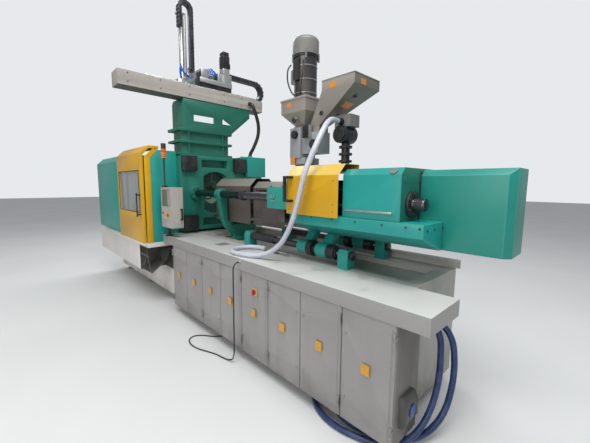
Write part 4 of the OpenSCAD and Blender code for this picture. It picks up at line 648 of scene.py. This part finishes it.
def screws(node, name, places, way, head, tall):
    """Black cap screws: turned heads copied to their places, recessed where they face front or up."""
    first = turned((0, 0, 0), way, [(0, head), (tall - 1, head), (tall, head - 1)], 14)
    for part in (first.data.vertices, first.data.edges, first.data.polygons):
        part.foreach_set("select", [False] * len(part))
    for face in first.data.polygons:
        face.select = face.normal.dot(way) > 0.9 and face.center.dot(way) > 0.9 * tall / 1000
    bpy.ops.object.mode_set(mode="EDIT")
    bpy.ops.mesh.select_mode(type="FACE")
    bpy.ops.mesh.inset(thickness=head * 0.45 / 1000)
    bpy.ops.mesh.extrude_region_move(TRANSFORM_OT_translate={"value": -way * 0.6 * tall / 1000})
    bpy.ops.object.mode_set(mode="OBJECT")
    round_edges(first, 0)
    home = spot(0, 0, 0) * 1000
    moves = [tuple(spot(*p) * 1000 - home) for p in places]
    mount(copies(first, moves), node, bolt_black, "black_steel", name)


def green_part(node, finish, width, steps=3, **more):
    return dress(node, finish, "green_paint", width, steps, 30, green_worn, **more)


fixed = green_part("fixed_platen", shaded_casting_green, 7)
# The funnel's cone is painted a paler green as light falling on it.
give(fixed, paint("funnel_painted_light_green", (0.15, 0.26, 0.19), 0.4, 0.4, 0.02, 1.2), x=(-610, -215), r=(-1, 235))
# The bore at the funnel's middle is painted near-black as shade.
give(fixed, paint("bore_painted_shade_green", (0.008, 0.05, 0.036), 0.5, 0.5, 0.03), x=(-611, -215), r=(-1, 84))
green_part("rear_platen", shaded_casting_green, 7)
moving = green_part("moving_platen", shaded_casting_green, 7)
give(moving, bright, x=(-1280, FAR), nx=(0.9, FAR))
give(moving, dark_bar, x=(-FAR, -1700), nx=(-0.5, 0.5))
give(fixed, bright, x=(-FAR, -612), nx=(-FAR, -0.9))
dress("tie_bars", *BRIGHT, 2)
dress("tie_bar_caps", *CAPS, 9, 3)
dress("ejector", *BRIGHT, 1)
turns = [2 * math.pi * (k + 0.5) / 10 for k in range(10)]
screws("fixed_platen", "platen_ring_screws",
       [(-200, SCREW_Y + 262 * math.cos(a), SCREW_Z + 262 * math.sin(a)) for a in turns], X, 13, 12)

# ---- Clamp guard and sliding safety door
# A bent sheet tunnel round the clamp, green with a yellow end edge, and a yellow sliding door with
# a clear window in a rubber gasket and a black pull handle.
yellow = paint("yellow_paint", (0.62, 0.34, 0.003), 0.36, 0.15, 0.01, fade=0.04)
yellow_worn = paint("yellow_worn_edges", (0.56, 0.30, 0.012), 0.42, 0.25, 0.2, fade=0.06)
green_part("guard_shell", green, 3, 2)
green_part("guard_ends", green, 4, 2)
sill = min(v.co.z for v in frame["nodes"]["guard_ends"].data.vertices) * 1000
mount([block((-329.9, -230, sill), (-326.5, -146, 2240), 1),
       on_face((-328.4, -139.5, 2283.5), X, (0, 0.7071, 0.7071), (190, 60), 3)], "guard_ends", yellow,
      "yellow_paint", "guard_yellow_edge")
door_skin = dress("safety_door", yellow, "yellow_paint", 4, 2, 30, yellow_worn)
give(door_skin, cap_black, x=(-420, FAR), y=(-FAR, -283), z=(1370, 1745))
pane, tree = new_finish("scratched_clear_pane")
smears = spread(noise(tree, 5, 7, (1, 1, 0.12)), 0.38, 0.68)
coat(tree, Base_Color=tint(smears, (0.46, 0.49, 0.49), (0.26, 0.29, 0.29)),
     Roughness=spread(smears, 0, 1, 0.04, 0.25), Transmission_Weight=0.4, IOR=1.2)
dress("door_window", pane, "clear_pane", 0)
left, right = (corner[0] * 1000 + SHIFT[0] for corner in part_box("door_window"))
mount([block((low, -285, bottom), (high, -281, top), 1.5) for low, high, bottom, top in (
    (left - 4, right + 4, 1438, 1450), (left - 4, right + 4, 2040, 2052),
    (left - 12, left + 4, 1438, 2052), (right - 4, right + 12, 1438, 2052))],
      "safety_door", *RUBBER, "window_gasket")

# ---- Robot console and beam
# A tall welded green console on the fixed platen carries the robot's grey steel beam. On the beam
# run a ground rail, a toothed rack and a black cable chain; all of it is greyed by dust.
LINK = 60
# The console's green is darkened as painted shade.
shaded_console_green = paint("console_green_paint", (0.009, 0.125, 0.082), 0.42, 0.3, 0.02, fade=0.08)
windows = [block((-612, 650, 2820), (-574, 1100, 3072), 0), block((-612, 1180, 2900), (-574, 1390, 3050), 0)]
console = green_part("robot_console", shaded_console_green, 4, 2, cuts=windows)
# Above 3060 mm the console is darker still: the painted shadow of the beam.
give(console, paint("console_top_painted_shadow", (0.006, 0.082, 0.055), 0.42, 0.3, 0.02, fade=0.08), z=(3060, FAR))
beam_grey = paint("beam_paint", (0.36, 0.335, 0.30), 0.5, 0.5, 0.02)
chain_black = moulded("chain_plastic", (0.016, 0.017, 0.020), 0.38)
beam = dress("robot_beam", beam_grey, "grey_paint", 3, 2, 30)
give(beam, chain_black, z=(3345, FAR))
# The beam's downward faces are painted dark as shade.
give(beam, paint("beam_underside_painted_shade", (0.10, 0.098, 0.092), 0.5, 0.5, 0.02),
     z=(-FAR, 3150), nz=(-FAR, -0.5))
give(beam, bright, z=(3320, 3345))
mount(copies(block((-207.9, -180, 3321), (-203, -174, 3337), 0), [(0, 12 * k, 0) for k in range(152)]),
      "robot_beam", *BRIGHT, "rack_teeth")
mount(block((-213, -539, 3150.5), (-200.4, 1769, 3191.5), 0.8, 1), "robot_beam", beam_grey,
      "grey_paint", "beam_front_band")
# Black strips on the beam's underside paint the shade inside its grooves.
mount(copies(block((-258, -530, 3128.8), (-252, 1760, 3130.6), 0.4, 1),
             [(x, 0, 0) for x in (0, -60, -120, -170)]),
      "robot_beam", cap_black, "grey_paint", "beam_groove_shade_strips")
mount(block((-228, -530, 3320), (-216, 1760, 3326), 1, 1), "robot_beam", cap_black, "black_steel",
      "beam_edge_rail")
screws("robot_console", "console_flange_screws", [(-250, y, 2690) for y in (350, 520, 690, 860, 1030, 1110)]
       + [(-250, y, 2515) for y in (260, 1120)], Z, 11, 9)
screws("robot_beam", "beam_screws", [(-200, y, z) for y in (-420, 0, 420, 1000, 1340) for z in (3180, 3290)],
       X, 8, 6)


def link_plates(centre, across, ahead, up, half_width, radius, runs, count, node, name, size, finish):
    """Side plates of a cable chain, one per link on both sides of both runs."""
    plates = []
    for side in (-1, 1):
        flank = centre + side * half_width * across
        for links, sign in runs:
            plates += [(flank - (k + 0.5) * LINK * ahead + sign * radius * up, up) for k in range(links)]
        for k in range(count):
            a = math.pi * (k + 0.5) / count
            out = math.sin(a) * ahead + math.cos(a) * up
            plates.append((flank + radius * out, out))
    mesh = bmesh.new()
    for mid, out in plates:
        along = across.cross(out).normalized()
        start = len(mesh.verts)
        bmesh.ops.create_cube(mesh, size=0.001, matrix=Matrix.Diagonal((*size, 1)))
        mesh.verts.ensure_lookup_table()
        for vert in mesh.verts[start:]:
            place = vert.co * 1000
            vert.co = spot(*(mid + place.x * across + place.y * along + place.z * out))
    bmesh.ops.recalc_face_normals(mesh, faces=mesh.faces)
    mount(round_edges(object_of(mesh, name), 6), node, finish, "black_plastic", name)


link_plates(Vector((-405, 1740, 3506)), X, Y, Z, 52, 150, [(10, 1), (9, -1)], 8, "robot_beam",
            "beam_chain_plates", (6, 52, 66), chain_black)

# ---- Robot carriage, demoulding arm and vertical arm
# A milled aluminium saddle on the beam with a black servo motor, a cantilever of aluminium profile
# and a tall square arm with its own cable chain. Blue air tubes loop between them.
alloy = steel("milled_aluminium", (0.62, 0.63, 0.62), 0.38, (1, 30, 30), 0.25)
alloy_tall = steel("drawn_aluminium", (0.66, 0.67, 0.66), 0.35, (50, 50, 1), 0.15)
carriage = dress("robot_carriage", alloy, "aluminium_profile", 3,
                 cuts=[block((-340, 940, 3582), (-170, 1120, 3830), 0),
                       block((-199.8, 560, 3150), (-160, 1160, 3400), 0)])
give(carriage, cap_black, z=(-FAR, 3471.6), y=(-FAR, 884))
mount([block((-340, y, 3400), (-196, y + 14, 3560), 3) for y in (600, 640, 860)]
      + [block((-214, 585, 3402), (-196, 880, 3440), 3)], "robot_carriage", cap_black, "black_steel",
      "carriage_webs")
mount([block((-398, 886, 3470), (-182, 1136, 3598), 7, 3),
       block((-318, 997, 3596), (-202, 1113, 3700), 5, 3)],
      "robot_carriage", alloy, "aluminium_profile", "traverse_gear_box")
mount([block((-321, 995, 3698), (-199, 1115, 3905), 12, 4),
       block((-316, 1000, 3908), (-204, 1110, 3958), 10, 4),
       block((-292, 1108, 3720), (-228, 1146, 3800), 6, 3)], "robot_carriage", *CAPS, "traverse_motor")
screws("robot_carriage", "gear_box_screws",
       [(x, y, 3598) for x in (-385, -195) for y in (900, 1122)], Z, 6, 5)
dress("demould_arm", alloy, "aluminium_profile", 3)
arm = dress("vertical_arm", alloy_tall, "aluminium_profile", 3)
give(arm, chain_black, x=(-869, FAR))
chain_blue = moulded("chain_panel_blue_black", (0.018, 0.022, 0.045), 0.3)
link_plates(Vector((-818, 670, 4683)), X, Z, -Y, 46, 97, [(5, 1), (16, -1)], 5, "vertical_arm",
            "arm_chain_plates", (7.6, 52, 54), chain_blue)
give(arm, chain_blue, x=(-869, FAR), nx=(-0.5, 0.5))
mount(block((-940, 618, 2760), (-920, 625.5, 4600), 1.5), "vertical_arm", *BRIGHT, "arm_rail")
# Black strips on the arm's profile paint the shade inside its grooves.
mount(copies(block((-976, 640, 2740), (-974.4, 648, 4640), 0.4, 1), [(0, 0, 0), (0, 44, 0)]),
      "vertical_arm", cap_black, "aluminium_profile", "arm_groove_shade_strips")
mount(copies(block((-323, 993, 3722), (-197, 1117, 3726), 1, 1), [(0, 0, 15 * k) for k in range(11)]),
      "robot_carriage", *CAPS, "motor_fins")
blue_tube = moulded("air_tube_blue", (0.02, 0.13, 0.62), 0.3, 0.05)
VALVE_YS = (757, 791, 825, 859)
mount([block((-330, y - 13, 3471), (-250, y + 13, 3545), 3) for y in VALVE_YS], "robot_carriage",
      moulded("valve_grey", (0.14, 0.14, 0.15), 0.4), "black_plastic", "valve_bank")
tubes = [[(-290, y, 3535), (-290, y, 3600 + 8 * k), (-320, y - 20, 3650 + 10 * k), (-334, y + 25, 3610),
          (-320, 905 + 4 * k, 3580), (-300, 930 + 5 * k, 3500)] for k, y in enumerate(VALVE_YS)]
tubes += [[(-262, y, 3535), (-240, y, 3590), (-225, 790 + 20 * k, 3640 - 12 * k),
           (-240, 850 + 10 * k, 3600), (-262, 880 + 12 * k, 3475)] for k, y in enumerate(VALVE_YS)]
loops = [[(x, 545, 3560), (x + 6, 520, 3640 + 14 * k), (x + 60, 500, 3700 + 16 * k), (x + 100, 520, 3640),
          (x + 112, 560, 3580 + 6 * k), (x + 120, 612, 3565)] for k, x in enumerate((-744, -730, -716, -702))]
leads = [[(-600 + 40 * k, 618, 3590), (-590 + 40 * k, 590, 3650), (-540 + 34 * k, 575, 3680 - 20 * k),
          (-490 + 30 * k, 592, 3640), (-480 + 34 * k, 616, 3592)] for k in range(3)]
mount([rod(line, 5) for line in tubes], "robot_carriage", blue_tube, "hose_plastic", "carriage_air_tubes")
mount([rod(line, 5) for line in loops], "demould_arm", blue_tube, "hose_plastic", "arm_air_tubes")
mount([rod(line, 7) for line in leads], "demould_arm", *RUBBER, "arm_leads")

# ---- Columns, yoke and brackets
# Two hardened black columns and two lower rods carry the injection unit. A cast green fork holds
# the columns over the tray, and four green blocks with cap screws hold the rods.
COLUMN_YS, ROD_YS, ROD_Z = (485, 1135), (500, 1120), 1235
columns = dress("guide_bars", dark_bar, "black_steel", 3)
sleeve_black = moulded("column_sleeve_black", (0.02, 0.02, 0.022), 0.3)
mount([turned((3306, y, SCREW_Z), X, [(0, 45.2), (1, 46.4), (62, 46.4), (63, 45.2)], 40)
       for y in COLUMN_YS], "guide_bars", sleeve_black, "black_steel", "column_end_sleeves")
bellows = moulded("bellows_black", (0.018, 0.018, 0.022), 0.45)
give(columns, bellows, x=(1035, 1100), z=(1600, FAR))
give(columns, bellows, x=(1250, 1672), z=(-FAR, 1400))
green_part("column_yoke", shaded_casting_green, 8)
give(green_part("rod_brackets", green, 4), bolt_black, z=(1289.5, FAR))
mount([turned((2728, y, ROD_Z), X, [(0, 30), (20, 46), (24, 46), (28, 40), (29, 12)], 32, 1) for y in ROD_YS],
      "rod_brackets", bolt_black, "black_steel", "rod_end_discs")

# ---- Injection carriage: trough, hood, cylinders and drive box
# A welded green trough with sloped flanks, a folded hood over the drive with a bright rail on it,
# two hydraulic cylinders through its end plate and a tall sheet box at the back.
hood_green = paint("hood_green_paint", (0.012, 0.285, 0.255), 0.33, 0.15, 0.004, fade=0.04)
green_part("carriage_trough", hood_green, 4)
hood = green_part("green_hood", hood_green, 3)
give(hood, bright, y=(-FAR, 311.5), z=(1650, 1675))
# The drive box takes the hood green darkened as painted shade.
green_part("drive_box", paint("drive_box_painted_shade_green", (0.012, 0.235, 0.19), 0.35, 0.2, 0.01, fade=0.05), 4)
cylinders = green_part("injection_cylinders", green, 3, 2)
give(cylinders, cap_black, x=(-FAR, 1674))
give(cylinders, cap_black, x=(3269.8, FAR))
give(cylinders, dark_bar, x=(1990, 3269), nx=(-0.5, 0.5))
screws("carriage_trough", "trough_screws",
       [(x, 300, 1572) for x in (2180, 2420, 2660, 2900, 3140, 3330, 3430)], FRONT, 8, 5)
screws("carriage_trough", "trough_end_screws", [(3456, y, 1555) for y in (360, 480, 620)], X, 8, 5)
mount(block((3270.35, 606, 1604), (3274, 1014, 1972), 1, 1), "drive_box", cap_black, "black_rubber",
      "drive_box_seal")
mount(turned((3200, 336, 1970), (0, -1, 1), [(-3, 30), (3, 30), (4.5, 27), (4.5, 20), (2.5, 18)]),
      "green_hood", moulded("plug_grey", (0.17, 0.18, 0.18), 0.5), "black_plastic", "hood_plug")
# The hood's end face and its end plate take the darker casting green as painted shade.
give(hood, shaded_casting_green, x=(3250, FAR), nx=(0.9, FAR))
mount(block((3270.2, 360, 1622), (3272, 600, 1900), 1, 1), "green_hood", shaded_casting_green, "green_paint",
      "hood_end_plate")
screws("green_hood", "hood_end_screws", [(3271, y, z) for y in (372, 588) for z in (1634, 1888)], X, 6, 4)
screws("injection_cylinders", "head_screws",
       [(x, y, 1840) for x in (1721, 1923) for y in (400, 570)], Z, 12, 10)
mount([turned((1800, 370, 1740), FRONT, [(0, 24), (14, 24), (15, 17), (40, 17), (42, 13)], 6, 1),
       turned((1800, 370, 1690), FRONT, [(0, 18), (10, 18), (11, 12), (26, 12)], 6, 1)],
      "injection_cylinders", *BRIGHT, "cylinder_ports")
bearings = green_part("carriage_bearings", green, 5)
for span in ((2221.3, 2342.7), (2473.3, FAR)):
    give(bearings, cap_black, x=span, z=(-FAR, 1330))
mount([turned((x, y, ROD_Z), X, [(0, 50), (2, 52), (10, 52), (12, 50)])
       for x in (2079, 2569) for y in ROD_YS], "carriage_bearings", *RUBBER, "rod_wipers")

# ---- Barrel, screw and the covers over them
# A steel barrel with ceramic heater bands under taupe sheet covers: one slotted and fixed, one
# sliding over the nozzle on rails. The yellow cover slides in front of the drive.
barrel = dress("barrel", steel("barrel_steel", (0.33, 0.31, 0.30), 0.35, (1, 30, 30), 0.6), "bright_steel", 2)
give(barrel, steel("heater_band_sheet", (0.42, 0.36, 0.29), 0.42, (30, 30, 30), 0.6),
     r=(128, FAR), x=(15, 1530))
mount(copies(block((-8, -7, -4), (8, 7, 14)),
             [(20 + 190 * k + x, SCREW_Y - 95, SCREW_Z + 95) for k in range(8) for x in (25, 135)]),
      "barrel", *BRIGHT, "band_clamps")
dress("screw", *BRIGHT, 0)
edit()
bpy.ops.transform.resize(value=(1, 0.992, 0.992), center_override=spot(0, SCREW_Y, SCREW_Z))
clear()
green_part("crosshead", shaded_casting_green, 5, 2)
taupe = paint("taupe_paint", (0.088, 0.070, 0.062), 0.36, 0.3, 0.006)
taupe_worn = paint("taupe_worn_edges", (0.12, 0.10, 0.085), 0.4, 0.4, 0.3)
# The covers' upward faces are painted much paler as light falling on them.
taupe_painted_light_top = paint("taupe_top_paint", (0.20, 0.182, 0.155), 0.34, 0.3, 0.004)
for node, width, steps in (("slotted_cover", 2, 2), ("nozzle_hood", 4, 3)):
    cover = dress(node, taupe, "taupe_paint", width, steps, 30, taupe_worn)
    give(cover, taupe_painted_light_top, nz=(0.5, FAR), z=(1800, FAR))
screws("nozzle_hood", "nozzle_hood_screws", [(x, 600, z) for x in (215, 620, 1020) for z in (1380, 1790)],
       FRONT, 7, 4)
pull = [(600, 1600), (570, 1600), (562, 1585), (560, 1500), (562, 1415), (570, 1400), (600, 1400)]
mount(rod([(195, y, z) for y, z in pull], 8, 12), "nozzle_hood", cap_black, "black_steel", "nozzle_hood_pull")
cover = dress("yellow_cover", yellow, "yellow_paint", 4, 3, 30, yellow_worn)
# The yellow cover's upward faces are painted paler as light falling on them.
give(cover, paint("top_yellow_painted_light", (0.66, 0.45, 0.07), 0.32, 0.35, 0.0), nz=(0.5, FAR), z=(1900, FAR))
give(cover, cap_black, y=(-FAR, 268), z=(1699, 1946), x=(-FAR, 2212))
screws("yellow_cover", "yellow_cover_screws",
       [(2690, 270.4, z) for z in (1640, 1700, 1900)] + [(2150, 270.4, 1630)], FRONT, 5, 3)
screws("yellow_cover", "yellow_top_screw", [(2690, 330, 2000)], Vector((0, -0.7071, 0.7071)), 5, 3)

# ---- Material feeding: dosing unit, hoppers, loader and blower
# Cast and sheet metal feeders over the throat. Both hoppers are warm grey painted sheet with round
# sight glasses and plain orange fields; the loader has a dark steel body and a grey cap.
LOADER_X, LOADER_Y = 1825, 810
olive = paint("olive_casting_paint", (0.13, 0.125, 0.075), 0.45, 0.5, 0.03)
dosing = dress("dosing_unit", paint("dosing_grey_paint", (0.30, 0.31, 0.33), 0.42, 0.3, 0.01),
               "grey_paint", 3)
give(dosing, olive, z=(-FAR, 1990))
give(dosing, cap_black, y=(-FAR, 678), ny=(-FAR, 0.5), z=(2000, FAR))
beige = paint("hopper_paint", (0.285, 0.258, 0.23), 0.4, 0.3, 0.004)
beige_worn = paint("hopper_worn_edges", (0.26, 0.238, 0.21), 0.45, 0.4, 0.3)
for node, width in (("small_hopper", 3), ("hopper_lid", 1)):
    dress(node, beige, "cream_paint", width, 2, 30, beige_worn)
large = dress("large_hopper", beige, "cream_paint", 2, 2, 30, beige_worn)
# The large hopper's faces towards +x are painted darker as shade.
give(large, paint("hopper_side_painted_shade", (0.14, 0.137, 0.108), 0.42, 0.4, 0.004), nx=(0.3, FAR))
orange = moulded("orange_film", (0.66, 0.23, 0.02), 0.4, 0.08)
dark_glass = moulded("sight_glass", (0.025, 0.026, 0.028), 0.08, 0.02)
slope = max((f for f in large.data.polygons if f.normal.x > 0.3 and f.normal.z < -0.3), key=lambda f: f.area)
low_end = slope.center * 1000 + Vector(SHIFT)
down = Vector((slope.normal.z, 0, -slope.normal.x)).normalized()
for node, part, centre, facing, radius in (
        ("small_hopper", "sight_glass", (1845, 620.5, 2552), (0, -0.90, -0.42), 28),
        ("large_hopper", "slope_glass_1", low_end - 170 * down - 30 * Y, slope.normal, 24),
        ("large_hopper", "slope_glass_2", low_end + 120 * down + 30 * Y, slope.normal, 24),
        ("large_hopper", "sight_glass", (2255, 600, 2560), FRONT, 24)):
    rim = [(-2, radius), (6, radius), (8, radius - 3), (8, radius - 8), (2, radius - 9)]
    mount(turned(centre, facing, rim), node, dark_glass, "black_plastic", f"{node}_{part}")
for node, name, centre, facing, along, size in (
        ("large_hopper", "large_hopper_slope_field", low_end - 40 * down, slope.normal, Y, (130, 80)),
        ("small_hopper", "small_hopper_orange_field", (1765, 619.6, 2722), FRONT, X, (66, 46)),
        ("large_hopper", "large_hopper_orange_field", (2640.6, 735, 2800), X, Y, (80, 50)),
        ("large_hopper", "large_hopper_front_field", (2390, 599.6, 2800), FRONT, X, (80, 50)),
        ("dosing_unit", "dosing_orange_field", (1770, 679.4, 2130), FRONT, X, (70, 90)),
        ("dosing_unit", "dosing_side_field", (2010, 709.4, 2120), FRONT, X, (56, 60))):
    mount(on_face(centre, facing, along, size), node, orange, "yellow_paint", name)
loader = dress("small_loader", steel("loader_steel", (0.13, 0.125, 0.125), 0.34, (40, 40, 1), 0.3),
               "bright_steel", 3, 3)
cap_grey = moulded("loader_cap_white", (0.19, 0.186, 0.175), 0.35, 0.1)
give(loader, cap_grey, z=(3253.9, FAR))
give(loader, cap_grey, x=(-FAR, 1703))
give(loader, cap_black, z=(3227, 3254.2))
mount([turned((LOADER_X, LOADER_Y, z), Z, [(0, 125), (1, 129), (9, 129), (10, 125)], 40)
       for z in (2850, 2990, 3130)], "small_loader", *BRIGHT, "loader_bands")
latches = [(LOADER_X + 141 * math.cos(a), LOADER_Y + 141 * math.sin(a), 3240)
           for a in (math.radians(45 + 90 * k) for k in range(4))]
mount([copies(block((-9, -9, -45), (9, 9, 45), 3), [place]) for place in latches],
      "small_loader", *BRIGHT, "loader_latches")
lead_1 = [(1740, 670, 3160), (1720, 640, 3100), (1730, 630, 2980), (1760, 648, 2880), (1790, 668, 2830)]
lead_2 = [(1900, 690, 3180), (1935, 660, 3100), (1930, 650, 2980), (1890, 668, 2880), (1860, 690, 2840)]
mount([rod(lead_1, 8), rod(lead_2, 6)], "small_loader", *RUBBER, "loader_leads")
blower = dress("blower", *CAPS, 4, 3)
give(blower, cap_grey, z=(2429.9, FAR), y=(735, FAR))
ribs = [(2400, 698, 2360, rotation(30 * k, "Y")) for k in range(12)]
mount([copies(block((-2.5, -4, 24), (2.5, 0, 60), 1, 1), [place]) for place in ribs], "blower", bolt_black,
      "black_plastic", "blower_guard_ribs")

# ---- Suction lance on the worktop
# An olive cast lance with a steel tip; the clear hose is clamped on its tail.
lance = dress("suction_lance", olive, "olive_casting", 2)
give(lance, bright, x=(1832, FAR))
mount(turned((1606, 418, 1134), X, [(0, 25.2), (1, 26.2), (13, 26.2), (14, 25.2)]),
      "suction_lance", *BRIGHT, "hose_clip")

# ---- Operator panel, emergency stop and signal tower
# A warm white sheet case on a black post: a dark screen in a raised frame, keys below it, a red
# mushroom button on a yellow ring and a two-colour signal tower on top.
panel_worn = paint("panel_worn_edges", (0.33, 0.315, 0.29), 0.45, 0.3, 0.3)
panel_white = paint("panel_paint", (0.37, 0.355, 0.325), 0.4, 0.2, 0.006, 0.6)
panel = dress("control_panel", panel_white, "cream_paint", 8, 4, 30, panel_worn)
give(panel, cap_black, z=(-FAR, 1249.5))
give(panel, cap_black, x=(154.5, FAR))
mount(block((-178, -54, 1548), (20, -51, 1776), 4, 3), "control_panel",
      moulded("screen_grey", (0.12, 0.13, 0.13), 0.12, 0.02), "black_plastic", "screen")
mount([block((left, -60.5, bottom), (right, -52, top)) for left, right, bottom, top in (
    (-186, 28, 1540, 1548), (-186, 28, 1776, 1784), (-186, -178, 1540, 1784), (20, 28, 1540, 1784))],
      "control_panel", panel_worn, "cream_paint", "screen_frame")
key_grey = moulded("key_grey", (0.36, 0.36, 0.35), 0.45, 0.1)
for name, low, high, columns, rows, across, up, finish, slot in (
        ("keys", (-184, -63.5, 1270), (-166, -59.5, 1284), 6, 5, 26, 22, key_grey, "black_plastic"),
        ("side_keys", (46, -56.5, 1560), (66, -50.5, 1576), 3, 8, 30, 26, key_grey, "black_plastic"),
        ("red_keys", (-180, -64, 1440), (-150, -59.5, 1462), 2, 1, 44, 0, red_knob, "red_plastic")):
    mount(copies(block(low, high), [(across * i, 0, up * j) for i in range(columns) for j in range(rows)]),
          "control_panel", finish, slot, name)
mount(turned((49, -60, 1430), FRONT, [(0, 34), (3, 34), (4, 32)], 40), "control_panel", yellow,
      "yellow_paint", "stop_ring")
dress("emergency_stop", red_knob, "red_plastic", 4, 4)
tower = dress("signal_tower", *CAPS, 2)
for name, colour, low, high in (
        ("orange_lens", (0.85, 0.16, 0.01), 2218.5, 2284),
        ("red_lens", (0.50, 0.012, 0.010), 2284.1, 2347.5)):
    lens, tree = new_finish(name)
    ridge = spread(noise(tree, 30, 2, (1, 1, 8)), 0.4, 0.6)
    coat(tree, Base_Color=tint(ridge, colour, shade(colour, 0.6)), Roughness=0.12,
         Transmission_Weight=0.25, Emission_Strength=0.25, Emission_Color=colour)
    give(tower, lens, z=(low, high))
mount([turned((-130, -27, z), Z, [(0, 32), (1, 33.5), (4, 33.5), (5, 32)]) for z in (2239, 2262, 2305, 2327)],
      "signal_tower", *CAPS, "tower_rings")
